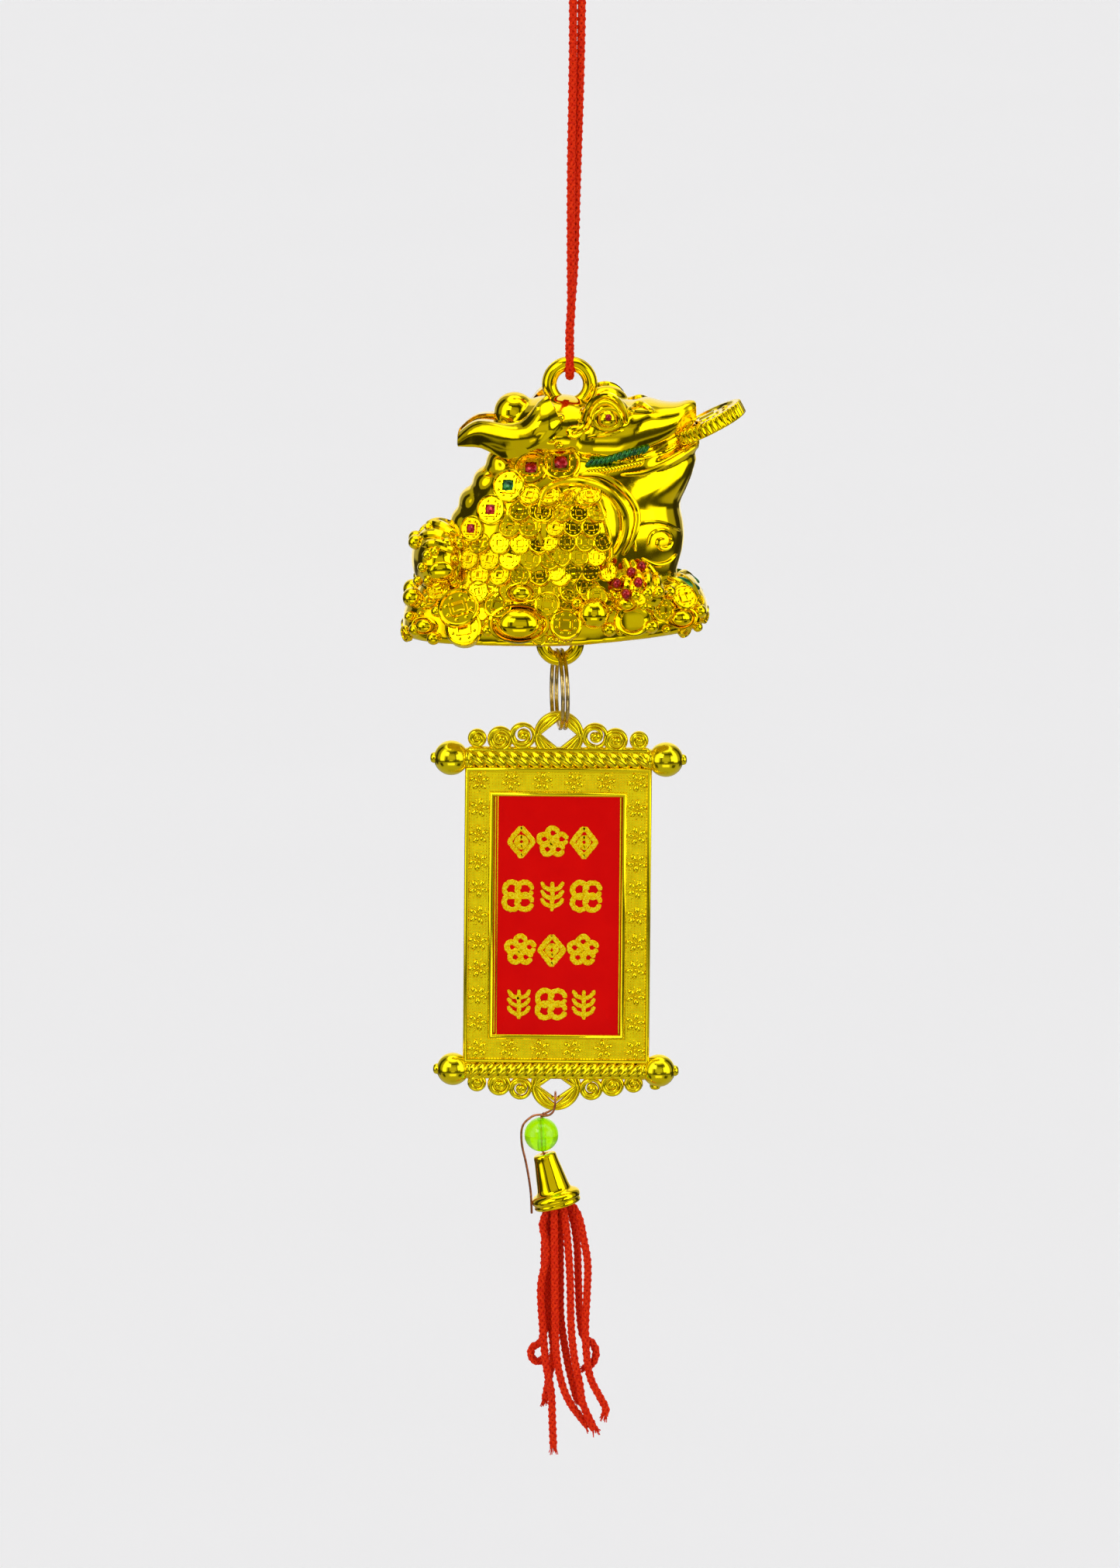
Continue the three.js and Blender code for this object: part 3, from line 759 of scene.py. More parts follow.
def below_chain(u, v):
    """How far a place lies below the line of big coins, in millimetres."""
    knots = [(-24, -30), (-16.8, -25.2), (-13.5, -22.0), (-10.5, -17.9), (-6.6, -14.9), (-1.5, -14.0),
             (6, -14)]
    line = np.interp(u, [k[0] for k in knots], [k[1] for k in knots])
    return line - v


THIGH_V = -26.8  # the middle of the thigh's oval


def thigh_middle(v):
    return 1.0 - 0.19 * (v - THIGH_V)


def on_thigh(u, v, grow):
    """Whether a place is in the thigh's oval, made larger by grow."""
    return ((u - thigh_middle(v)) / (6.2 + grow)) ** 2 + ((v - THIGH_V) / (9.4 + grow)) ** 2 < 1


def add_scales(gold, skin):
    """Coins that overlap like scales, their lower edges free, from the lowest row up."""
    def add_scale(u, v, r):
        gold.add(coin(r, thick=0.9, hole=0.24, steps=20),
                 skin.place(u, v, lift=0.3, lean=chance.uniform(-24, -8), spin=chance.uniform(-8, 8))
                 @ turn(chance.uniform(-7, 7), 'Y'))

    pitch, row_high = 3.45, 2.75  # on the side and the back
    for row in range(7):
        v = -35.9 + row_high * row
        for k in range(-7, 4):
            u = pitch * (k + 0.5 * (row % 2))
            if below_chain(u, v) >= 3.0 and not on_thigh(u, v, -0.6) and -18.3 <= u <= 5:
                add_scale(u, v, 2.05)
    pitch, row_high = 3.0, 2.5  # on the thigh, leaning as it does
    for row in range(8):
        v = -35.0 + row_high * row
        for k in range(-3, 4):
            u = thigh_middle(v) + pitch * (k + 0.5 * (row % 2))
            if on_thigh(u, v, -0.2) and u <= 4.9 + 0.13 * (-19 - v):
                add_scale(u, v, 1.78)


def leaf_point(rails, t, s):
    """A place on a leaf between three rails. s is 0 at the upper edge, 0.5 on the ridge, 1 at the lower."""
    upper, middle, lower = (rail[t] for rail in rails)
    return (2 * (s - 0.5) * (s - 1) * upper + 4 * s * (1 - s) * middle + 2 * s * (s - 0.5) * lower)


def add_ear(gold):
    """A broad leaf-shaped ear that sweeps back to a point. Each knot is across, up as seen, and out."""
    knots = [
        [(-19.1, -8.3, 1.0), (-17.6, -7.1, 2.0), (-15.8, -6.35, 3.0), (-13.4, -6.6, 4.3),
         (-11.2, -6.95, 5.2),
         (-8.6, -6.7, 6.4), (-6.9, -5.2, 7.0), (-5.6, -3.5, 7.2), (-3.9, -2.2, 7.0)],
        [(-19.5, -9.8, 1.3), (-17.6, -8.6, 3.2), (-15.4, -8.0, 4.8), (-12.8, -8.3, 6.4), (-10.4, -8.9, 7.8),
         (-7.6, -8.8, 9.0), (-5.6, -7.3, 9.6), (-3.9, -6.1, 9.4), (-2.4, -5.0, 8.6)],
        [(-19.4, -10.9, 1.0), (-17.6, -11.0, 1.9), (-15.4, -11.2, 3.0), (-12.9, -12.4, 4.6),
         (-10.6, -13.2, 5.8),
         (-7.6, -12.2, 7.4), (-5.2, -11.2, 8.6), (-3.2, -9.8, 9.0), (-1.2, -8.0, 8.6)],
    ]
    rails = []
    for rail in knots:
        places = [Vector((u, 0, 0)) + SEEN_UP * v - SEEN_IN * out for u, v, out in rail]
        rails.append([np.array(p) for p in spline(places, 3.0)])
    count = min(len(rail) for rail in rails)
    rails = [np.array([rail[round(i * (len(rail) - 1) / (count - 1))] for i in range(count)])
             for rail in rails]
    rails = [evenly(rail, 0.35)[0] for rail in rails]
    count = min(len(rail) for rail in rails)
    rails = [rail[np.linspace(0, len(rail) - 1, count).round().astype(int)] for rail in rails]
    sections = []
    for t in range(count):
        share = t / (count - 1)
        thick = 0.5 + 1.6 * min(1, share * 2.5)
        inward = np.array([0, thick, 0])
        front = [leaf_point(rails, t, s) for s in np.linspace(0, 1, 15)]
        # a rolled rim along both edges and a crease beside the ridge
        for k, rise in ((0, 0.25), (1, 0.35), (2, 0.05), (12, 0.05), (13, 0.3), (14, 0.2)):
            front[k] = front[k] - np.array([0, rise * min(1, share * 4), 0])
        back = [leaf_point(rails, t, s) + inward for s in np.linspace(0.97, 0.03, 9)]
        sections.append([tuple(p) for p in front + back])
    gold.add(rings_to_skin(sections))


def add_face(gold, paint, skin):
    eye = skin.place(6.5, -6.3)
    gold.add(ring(2.05, 0.42), eye @ stretch(1.1, 0.85, 0.8))
    gold.add(ball(1.75, 28), eye @ move(0, 0, -0.35))
    gaze = eye.translation + Vector((0.15, -1.0, 0.35)).normalized() * 1.3
    paint['red'].add(ball(0.62, 18), move(*gaze))
    ridge(gold, skin, [(2.0, -8.7), (1.1, -9.35), (0.1, -9.3), (-0.4, -8.5), (0.2, -7.8), (1.1, -8.0),
                       (2.3, -7.1), (3.0, -5.2), (4.2, -3.2), (6.2, -2.3), (8.2, -3.2), (9.5, -5.2),
                       (9.7, -6.9)], 0.62, lift=0.25)
    ridge(gold, skin, [(1.0, -8.9), (2.4, -8.3), (3.6, -6.9), (4.1, -5.2), (5.0, -3.9), (6.3, -3.5),
                       (7.7, -4.2), (8.6, -5.8), (8.7, -7.4)], 0.5, lift=0.2)
    ridge(gold, skin, [(3.2, -9.4), (5.0, -9.1), (7.2, -8.8), (9.2, -8.2)], 0.42, lift=0.1)
    ridge(gold, skin, [(9.9, -4.9), (10.9, -4.2), (12.0, -3.5), (13.1, -4.1), (14.5, -5.0)], 0.62, lift=0.1)
    ridge(gold, skin, [(9.9, -4.9), (12.2, -5.1), (14.5, -5.0)], 0.4, lift=0.1)
    ridge(gold, skin, [(12.4, -12.8), (14.6, -12.0), (17.0, -10.4), (19.4, -8.5), (21.8, -6.0)], 0.5,
          lift=0.1)
    ridge(gold, skin, [(9.0, -15.9), (12.5, -15.6), (16.6, -14.0), (20.0, -12.0), (22.6, -10.2)], 0.55)
    for u, v, r in ((-3.4, -7.4, 1.1), (-1.6, -6.1, 0.8), (-3.2, -9.6, 0.9), (-1.9, -10.9, 0.8)):
        gold.add(ball(r, 18), skin.place(u, v))


def add_rope(gold, paint, skin):
    """The painted rope under the cheek, and the plain one under it."""
    for knots, bead, colour in ((((3.4, -13.9), (6.0, -13.4), (9.6, -12.2), (13.0, -11.4)), 0.85, 'green'),
                                (((3.0, -15.6), (6.4, -15.2), (10.0, -14.4), (12.4, -13.9)), 0.62, None)):
        line = skin.path(knots, lift=0.25, step=0.9 * bead)
        target = paint[colour] if colour else gold
        for i, point in enumerate(line):
            ahead = line[min(i + 1, len(line) - 1)] - line[max(i - 1, 0)]
            tilt = math.degrees(math.atan2(ahead[2], ahead[0])) + 38
            target.add(ball(1, 12), move(*point) @ turn(-tilt, 'Y') @ stretch(1.25 * bead, bead * 0.7,
                                                                              0.5 * bead))


def add_limbs(gold, paint, skin):
    ridge(gold, skin, [(-5.2, -21.5), (-4.0, -18.6), (-1.1, -17.3), (3.0, -17.6), (6.8, -19.3),
                       (9.2, -22.3),
                       (9.5, -25.4), (8.4, -28.4), (6.6, -30.8)], 0.75, lift=0.3)
    ridge(gold, skin, [(1.6, -16.0), (5.0, -16.0), (8.2, -17.6), (10.8, -20.4), (11.7, -23.2),
                       (11.0, -26.6),
                       (9.3, -29.6)], 0.62, lift=0.2)
    ridge(gold, skin, [(-5.2, -21.5), (-5.6, -25.0), (-4.4, -29.2), (-1.6, -32.8)], 0.55, lift=0.1)
    ridge(gold, skin, [(3.6, -18.6), (4.9, -20.6), (5.9, -23.4), (6.7, -26.4), (7.1, -29.6),
                       (6.4, -32.8)], 0.42,
          lift=0.25)
    for k in range(4):  # toes
        spread = k - 1.5
        ridge(gold, skin, [(9.4 + 1.4 * k, -30.6 - 0.3 * k), (10.2 + 1.6 * k, -33.4 - 0.2 * k),
                           (9.6 + 1.9 * k, -36.6 + 0.25 * k)], 0.95 - 0.08 * abs(spread), lift=0.1)
        gold.add(ball(1.05, 18), skin.place(9.4 + 2.0 * k, -37.0 + 0.3 * k))
    for u, v in ((12.0, -31.8), (10.8, -33.4), (8.8, -34.9), (10.2, -36.4), (11.9, -34.9)):
        paint['red'].add(ball(0.85, 16), skin.place(u, v, lift=0.9) @ stretch(1, 1.15, 1))
    cloud = [(16.0 + (0.5 + 2.0 * t) * math.cos(8.5 * t + 1.2),
              -27.4 + (0.5 + 2.0 * t) * math.sin(8.5 * t + 1.2))
             for t in np.linspace(0, 1, 16)]
    ridge(gold, skin, cloud, 0.42, lift=0.15)
    ridge(gold, skin, [(11.4, -29.0), (11.0, -25.6), (12.6, -24.2), (16.0, -24.2), (19.0, -25.4)], 0.45,
          lift=0.1)
    ridge(gold, skin, [(12.6, -30.4), (14.8, -31.4), (17.0, -31.0), (18.4, -29.6)], 0.45, lift=0.1)
    for k in range(3):  # folds of the rump
        ridge(gold, skin, [(-26.4 + 0.6 * k, -24.9 - 1.6 * k), (-23.2, -24.4 - 1.7 * k),
                           (-19.8, -26.0 - 1.6 * k)], 0.95, lift=0.1)
    gold.add(ball(1, 24), skin.place(-22.2, -32.6) @ stretch(2.3, 2.0, 1.0))
    for u, v, r in ((-21.4, -27.9, 1.15), (-18.9, -27.9, 1.1), (-26.6, -27.5, 1.3), (-24.6, -29.8, 0.9),
                    (-20.1, -30.4, 0.8), (-23.4, -29.2, 0.8), (-25.4, -31.8, 0.9), (-24.6, -34.0, 0.8),
                    (-20.0, -34.4, 0.9), (-26.2, -34.0, 0.9)):
        gold.add(ball(r, 18), skin.place(u, v, lift=0.2))


HEAP_COINS = [(-19.1, -39.1, 3.7, 20), (-18.3, -42.3, 3.3, 10), (-12.4, -38.6, 2.55, -10),
              (-3.9, -38.1, 2.25, -6),
              (-0.7, -41.8, 2.8, -4), (-15.6, -36.0, 2.0, 15), (-22.6, -36.0, 2.1, 20),
              (19.6, -37.2, 2.4, 8),
              (15.8, -39.0, 2.1, 0), (4.6, -36.8, 1.9, 0)]
HEAP_INGOTS = [(-8.8, -41.7, 5.5, 3.5), (-8.4, -36.3, 2.6, 1.8), (19.2, -40.6, 2.9, 1.9),
               (9.9, -38.0, 2.5, 1.5),
               (-25.0, -42.0, 2.3, 1.6)]
HEAP_BALLS = [(4.1, -40.1, 2.75), (-26.8, -37.4, 1.75), (1.2, -38.0, 1.1), (6.8, -42.6, 1.3),
              (14.0, -42.0, 1.3),
              (22.2, -39.4, 1.2), (17.0, -36.3, 1.2), (-14.2, -42.8, 1.1), (-22.9, -39.6, 1.0),
              (22.4, -42.3, 0.9),
              (-23.4, -44.0, 1.2), (-26.4, -42.6, 1.2), (-27.4, -40.4, 1.0), (8.2, -36.6, 1.0)]

HEAP_TRIES = 320


def add_heap(gold, paint, skin):
    """Coins, ingots, balls, a bowl and a leaf along the foot, then small change in what is left free."""
    taken = []
    for u, v, r, spin in HEAP_COINS:
        gold.add(coin(r, thick=2.2, steps=36), skin.place(u, v, lift=1.0, facing=0.3, lean=-10, spin=spin))
        taken.append((u, v, r))
    for u, v, long, wide in HEAP_INGOTS:
        gold.add(ingot(long, wide), skin.place(u, v, lift=0.9, facing=0.3))
        taken.append((u, v, long * 0.8))
    for u, v, r in HEAP_BALLS:
        gold.add(ball(r, 24), skin.place(u, v, lift=0.4 * r))
        taken.append((u, v, r))
    bowl = lathe([(0, -1.2), (2.3, -1.0), (3.1, 0.25), (3.0, 0.45), (2.75, 0.4), (1.9, -0.35), (0, -0.6)],
                 36)
    gold.add(bowl, skin.place(10.9, -41.2, lift=0.6, facing=0.3) @ stretch(1.05, 0.85, 1))
    taken.append((10.9, -41.2, 3))
    paint['green'].add(ball(1, 20), skin.place(20.6, -34.6, lift=0.05) @ turn(-40, 'Z') @ stretch(2.4,
                                                                                                  0.9, 0.5))
    for knots in (((17.2, -33.6), (19.6, -34.8), (21.6, -37.0)),
                  ((14.8, -36.9), (17.6, -36.4), (20.6, -38.6)),
                  ((13.4, -38.6), (16.8, -40.0), (21.2, -40.2)),
                  ((19.0, -33.0), (21.2, -35.0), (22.8, -38.4))):
        ridge(gold, skin, knots, 0.6, lift=0.1)
    for _ in range(HEAP_TRIES):  # small change between the big pieces
        u, v, r = chance.uniform(-28.6, 23.4), chance.uniform(-44.9, -36.2), chance.uniform(0.55, 1.15)
        too_low = v - r < -45.3 + 0.07 * max(0, u)
        if too_low or any(math.hypot(u - x, v - y) < 0.72 * (r + q) for x, y, q in taken):
            continue
        taken.append((u, v, r))
        if r > 0.85:
            gold.add(coin(r * 1.35, thick=0.8, steps=16, marks=False),
                     skin.place(u, v, lift=0.4, spin=chance.uniform(0, 90)))
        else:
            gold.add(ball(r, 14), skin.place(u, v, lift=0.15))


def cut_half(mesh):
    """The front half of a closed mesh, closed again at the seam."""
    half = bmesh.new()
    half.from_mesh(mesh)
    everything = half.verts[:] + half.edges[:] + half.faces[:]
    bmesh.ops.bisect_plane(half, geom=everything, plane_co=(0, -SEAM, 0), plane_no=(0, 1, 0),
                           clear_outer=True)
    rim = [edge for edge in half.edges if edge.is_boundary]
    bmesh.ops.holes_fill(half, edges=rim, sides=0)
    verts = [tuple(v.co) for v in half.verts]
    faces = [tuple(v.index for v in face.verts) for face in half.faces]
    half.free()
    return verts, faces


def make_toad():
    core = Shape().add(egg(TRUNK)).add(egg(HEAP, narrow=0.12, power=2.6, rise=0.07))
    for rows in (SNOUT, JAW):
        core.add(egg(rows, narrow=-0.05, along='X'))
    for skin_of_lump, place in CORE_LUMPS:
        core.add(skin_of_lump, place)
    body = melt(core, 0.36, 12)
    skin = Skin(body)
    front = Shape().add(cut_half(body))
    paint = {'red': Shape(), 'green': Shape()}
    add_ear(front)
    add_scales(front, skin)
    add_chain(front, paint, skin)
    add_face(front, paint, skin)
    add_rope(front, paint, skin)
    add_limbs(front, paint, skin)
    add_heap(front, paint, skin)
    place = move(*TOAD_AT)
    for name, shape in (('front', front), ('back', front.mirrored())):
        half = shape.to_object(f'toad_{name}_half', GOLD, place, sharp=33)
        settle(half, 'toad', 'gold_plating', f'toad_{name}_shell')
    for colour, look in (('red', RED_PAINT), ('green', GREEN_PAINT)):
        for name, shape in (('front', paint[colour]), ('back', paint[colour].mirrored())):
            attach(shape.to_object(f'toad_{name}_{colour}_lacquer', look, place), 'toad')


COIN_AT = Vector((24.3, 0, -6.7))
COIN_R, COIN_THICK, COIN_TILT = 6.5, 2.4, 27
EYES = {'top_eye': ((0, 0, 0), 3.5, 1.25), 'bottom_eye': ((-1.68, 0, -45.4), 3.03, 1.21)}


def make_toad_fittings():
    """The two rings and the reeded coin held in the mouth."""
    for name, (at, r, tube) in EYES.items():
        shape = Shape().add(ring(r, tube, 28, 72), move(*at) @ turn(90, 'X'))
        if name == 'top_eye':  # a parting ridge round the outside
            shape.add(ring(r + tube - 0.02, 0.10, 8, 72), move(*at) @ turn(90, 'X'))
        piece = shape.to_object(f'{name}_ring', GOLD, move(*TOAD_AT))
        settle(piece, 'toad', 'gold_plating', name)
    half = COIN_THICK / 2
    reeds, depth = 36, 0.28
    rings = []
    for share, z in ((0.2, 0.62), (0.24, 0.62), (0.27, 1.02), (0.34, 1.02), (0.37, 0.78), (0.78, 0.78),
                     (0.83, 1.04),
                     (0.95, 1.04), (0.985, 0.96), (1.0, 0.84)):
        rings.append((share, z * half))
    outline = rings + [(share, -z) for share, z in rings[::-1]]
    steps = reeds * 6
    skin_rings = []
    for share, z in outline[::-1]:
        ring_points = []
        for i in range(steps):
            a = i * TURN / steps
            r = share * COIN_R
            if share >= 0.985:
                r -= depth * (0.5 + 0.5 * math.cos(reeds * a)) ** 2
            if share < 0.3:
                r = share * COIN_R / max(abs(math.cos(a)), abs(math.sin(a))) * 0.8
            ring_points.append((r * math.cos(a), r * math.sin(a), z))
        skin_rings.append(ring_points)
    shape = Shape().add(rings_to_skin(skin_rings))
    for side in (-1, 1):
        for k in range(8):
            a = TURN * (k + 0.5) / 8
            stud = lump((0.57 * COIN_R * math.cos(a), 0.57 * COIN_R * math.sin(a), side * half * 0.78),
                        (0.62, 0.62, 0.3), steps=14)
            shape.add(*stud)
    # the coin's own axis is Z here, and upright before it is tilted
    piece = shape.to_object('reeded_coin', GOLD, move(*(TOAD_AT + COIN_AT)) @ turn(-COIN_TILT, 'Y'),
                            sharp=35)
    settle(piece, 'toad', 'gold_plating', 'mouth_coin')


make_toad()
make_toad_fittings()

# ---------------------------------------------------------------- the split ring

RING_AT = Vector((-3.03, 0, -125.0))
RING_R, RING_WIRE, RING_PITCH, RING_YAW = 6.85, 0.7, 0.82, 6.5


def make_split_ring():
    """Two turns of round wire with square-cut ends."""
    turns, steps, open_by = 2, 150, math.radians(12)
    route = []
    for i in range(steps + 1):
        share = i / steps
        angle = math.radians(-55) + share * (turns * TURN - open_by)
        route.append((RING_PITCH * (share * turns - turns / 2), RING_R * math.cos(angle),
                      RING_R * math.sin(angle)))
    shape = Shape().add(sweep(route, RING_WIRE / 2, sides=16, rounded=False))
    piece = shape.to_object('split_ring_coil', BRASS, move(*RING_AT) @ turn(RING_YAW, 'Z'))
    settle(piece, 'ring', 'brass_wire', 'split_ring')


# ---------------------------------------------------------------- the plaque

FRAME_HALF, FRAME_TOP, FRAME_BOTTOM = 16.3, -6.75, -59.3
BORDER = 5.2  # from the frame's edge to the window
BLOSSOM_R = 1.8
FRAME_FACE = 1.05  # how far the border's ground stands out from the middle
TOP_SWIRLS = [(-14.2, -1.8, 1.6), (-10.2, -1.9, 2.2), (-6.3, -1.3, 2.3), (6.3, -1.3, 2.3), (9.9, -2.0, 2.1),
              (14.0, -2.0, 1.6)]
BOTTOM_SWIRLS = [(-13.8, -62.9, 1.6), (-9.9, -63.2, 2.0), (-6.2, -63.9, 2.0), (6.2, -63.9, 2.0),
                 (9.9, -63.2, 2.0), (13.6, -62.9, 1.6)]


def frame_moulding():
    """The frame's section, as (inset, depth), carried round the four sides with mitred corners."""
    face = [(0.0, 0.75), (0.12, 1.25), (0.4, 1.42), (0.75, 1.42), (0.95, FRAME_FACE), (4.25, FRAME_FACE),
            (4.42, 1.5), (4.7, 1.72), (4.9, 1.62), (5.3, 1.02)]
    section = face + [(inset, -y) for inset, y in face[::-1]]
    rings = []
    for inset, y in section:
        left, right = -FRAME_HALF + inset, FRAME_HALF - inset
        low, high = FRAME_BOTTOM + inset, FRAME_TOP - inset
        rings.append([(left, -y, low), (right, -y, low), (right, -y, high), (left, -y, high)])
    return rings_to_skin(rings, closed=True)


def blossom(r):
    """A five-petalled flower in low relief, facing +Z."""
    made = Shape()
    for k in range(5):
        place = turn(72 * k, 'Z') @ move(0, 0.58 * r, 0) @ stretch(0.27 * r, 0.40 * r, 0.26 * r)
        made.add(ball(1, 12), place)
        made.add(ball(1, 8), turn(72 * k + 36, 'Z') @ move(0, 0.86 * r, 0) @ stretch(0.08 * r, 0.2 * r,
                                                                                     0.14 * r))
    made.add(ball(1, 12), stretch(0.17 * r, 0.17 * r, 0.26 * r))
    return made.verts, made.faces


def rope_rod(z, r, half, lay):
    """A bar like a rope of three strands. lay is the length of one turn, negative to turn the other way."""
    sides, strands = 72, 3
    rings = []
    for x in np.arange(-half, half + 0.01, 0.14):
        ring_points = []
        for a in np.arange(sides) * TURN / sides:
            wave = abs(math.cos(strands / 2 * a + math.pi * strands * x / lay))
            reach = r * (0.70 + 0.32 * wave ** 0.55)
            ring_points.append((x, reach * math.cos(a), z + reach * math.sin(a)))
        rings.append(ring_points)
    return rings_to_skin(rings)


def add_rod(shape, z, r, half, lay, ball_x, ball_r, nub_under):
    """A rope rod with a ball, a collar and a nub at each end."""
    shape.add(rope_rod(z, r, half, lay))
    for side in (-1, 1):
        shape.add(ball(ball_r, 44), move(side * ball_x, 0, z) @ turn(90, 'Y'))
        collar = ring(r * 0.78, 0.5, 14, 40)
        shape.add(collar, move(side * (ball_x - ball_r + 0.25), 0, z) @ turn(90, 'Y'))
        nub = lathe([(0, -0.9), (1.0, -0.9), (0.95, 0.1), (0.75, 0.45), (0.4, 0.6), (0, 0.62)], 24)
        shape.add(nub, move(side * (ball_x + ball_r), 0, z) @ turn(90 * side, 'Y'))
        if nub_under and side == 1:
            shape.add(nub, move(ball_x - 0.6, 0, z - ball_r * 0.97) @ turn(180, 'X'))


def curl(x, z, r, way):
    """A scroll that winds in to a bead."""
    points = []
    for t in np.linspace(0, 1, 40):
        a = way * (math.pi * 0.5 + t * 1.45 * TURN)
        q = (r - 0.42) * (1 - 0.78 * t)
        points.append((x + q * math.cos(a), 0, z + q * math.sin(a)))
    return points


def add_crest(shape, swirls, ring_z, opening, strip, up):
    """Pierced scrollwork: a ring with a four-cornered opening, and scrolls to both sides."""
    for x, z, r in swirls:
        if abs(x) > 8:
            disc = lathe([(0, -0.2), (r - 0.15, -0.2), (r - 0.15, 0.2), (0, 0.2)], 32)
            shape.add(disc, move(x, 0, z) @ turn(90, 'X'))
        shape.add(ring(r - 0.32, 0.4, 14, 44), move(x, 0, z) @ turn(90, 'X') @ stretch(1, 1, 2.2))
        for face in (-1, 1):
            line = [(px, face * 0.55, pz) for px, _, pz in curl(x, z, r, up if x < 0 else -up)]
            shape.add(sweep(line, np.linspace(0.36, 0.26, len(line)), sides=10))
            shape.add(ball(1, 18), move(x + 0.1 * r, face * 0.5, z) @ stretch(0.3 * r, 0.6, 0.3 * r))
    low, high = strip
    for face in (-1, 1):
        shape.add(sweep([(-15.3, face * 0.35, (low + high) / 2), (15.3, face * 0.35, (low + high) / 2)],
                        (high - low) / 2, 0.62, sides=12))
    for r, tube, y in ((3.9, 0.5, 0.0), (4.05, 0.27, 0.5), (4.05, 0.27, -0.5), (3.5, 0.27, 0.45),
                       (3.5, 0.27, -0.45)):
        shape.add(ring(r, tube, 12, 64), move(0, y, ring_z) @ turn(90, 'X'))
    middle, half, high = opening
    corners = [(0, high + 0.65), (half + 0.75, 0), (0, -high - 0.65), (-half - 0.75, 0)]
    for (ax, az), (bx, bz) in zip(corners, corners[1:] + corners[:1]):
        for face in (-1, 1):
            shape.add(sweep([(ax, face * 0.4, middle + az), (bx, face * 0.4, middle + bz)], 0.3, sides=10))
    tops = [(0, 3.7), (3.7, 0), (0, -3.7), (-3.7, 0)]
    for (ax, az), (bx, bz) in zip(tops, tops[1:] + tops[:1]):
        for bulge, size in ((0.53, 0.3), (0.64, 0.27)):
            mid = ((ax + bx) * bulge, (az + bz) * bulge)
            for face in (-1, 1):
                knots = [(ax, face * 0.42, ring_z + az), (mid[0], face * 0.5, ring_z + mid[1]),
                         (bx, face * 0.42, ring_z + bz)]
                shape.add(sweep(spline(knots, 0.3), size, sides=8))


def facing(y_side):
    """A place whose Z points out of the plaque's front (-1) or back (1)."""
    return turn(90, 'X') if y_side < 0 else turn(180, 'Z') @ turn(90, 'X')


def border_places(across, down):
    """The middles of the tiles round the border: the four sides, corners counted once."""
    middle = BORDER / 2 - 0.05
    xs = np.linspace(-FRAME_HALF + middle, FRAME_HALF - middle, across)
    zs = np.linspace(FRAME_TOP - middle, FRAME_BOTTOM + middle, down)
    places = [(x, z) for x in xs for z in (zs[0], zs[-1])]
    return places + [(x, z) for x in (xs[0], xs[-1]) for z in zs[1:-1]]


def make_plaque():
    """One moulding: frame, rods, balls and crests, with flowers over a ground of fine studs."""
    place = move(*PLAQUE_AT) @ turn(PLAQUE_LEAN, 'Y')
    moulding = Shape().add(frame_moulding())
    backing = [(x, y, z) for y in (-0.45, 0.45)
               for x, z in ((-11.6, -55.4), (11.6, -55.4), (11.6, -10.6), (-11.6, -10.6))]
    moulding.add((backing, [(0, 1, 2, 3), (7, 6, 5, 4), (0, 4, 5, 1), (1, 5, 6, 2), (2, 6, 7, 3),
                            (3, 7, 4, 0)]))
    add_rod(moulding, -5.35, 1.72, 16.6, -5.8, 18.7, 3.05, nub_under=False)
    add_rod(moulding, -60.6, 1.55, 16.2, 4.9, 18.0, 2.87, nub_under=True)
    add_crest(moulding, TOP_SWIRLS, -1.25, (-1.05, 2.8, 2.25), (-4.6, -3.3), 1)
    add_crest(moulding, BOTTOM_SWIRLS, -63.45, (-63.6, 2.6, 1.75), (-62.2, -61.2), -1)
    flowers = border_places(6, 11)
    stud = 0.17
    studs = [(-stud, -stud, -0.1), (stud, -stud, -0.1), (stud, stud, -0.1), (-stud, stud, -0.1),
             (0, 0, 0.16)]
    stud_skin = (studs, [(0, 1, 4), (1, 2, 4), (2, 3, 4), (3, 0, 4), (3, 2, 1, 0)])
    for side in (-1, 1):
        out = facing(side)
        for k, (x, z) in enumerate(flowers):
            moulding.add(blossom(BLOSSOM_R), move(x, side * (FRAME_FACE + 0.05), z) @ out @ turn(17 * k,
                                                                                                 'Z'))
        pitch = 0.52
        for x in np.arange(-FRAME_HALF + 1.2, FRAME_HALF - 1.1, pitch):
            for z in np.arange(FRAME_BOTTOM + 1.2, FRAME_TOP - 1.1, pitch):
                in_window = abs(x) < FRAME_HALF - 4.2 and FRAME_BOTTOM + 4.2 < z < FRAME_TOP - 4.2
                if in_window or any(abs(x - fx) < 1.7 and math.hypot(x - fx, z - fz) < 1.7 for fx,
                                    fz in flowers):
                    continue
                moulding.add(stud_skin, move(x, side * FRAME_FACE, z) @ out)
    # the edge of the left wall, beside the card
    moulding.add(sweep([(-10.5, -1.22, -54.2), (-10.5, -1.22, -11.8)], 0.1, sides=8))
    piece = moulding.to_object('plaque_moulding', GOLD_RELIEF, place, sharp=55)
    settle(piece, 'plaque', 'gold_plating', 'scroll_frame')
    for name, side in (('front', -1), ('back', 1)):
        panel = card().to_object(f'{name}_card', RED_CARD,
                                 place @ move(0, side * 0.95, -33.0) @ facing(side), sharp=30)
        settle(panel, 'plaque', 'red_panel', f'{name}_panel')
        marks = ornament_rows().to_object(f'{name}_card_glitter', GLITTER,
                                          place @ move(0, side * 1.2, -33.0) @ facing(side), sharp=30)
        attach(marks, 'plaque')


CARD_HALF, CARD_HIGH = 10.8, 43.2


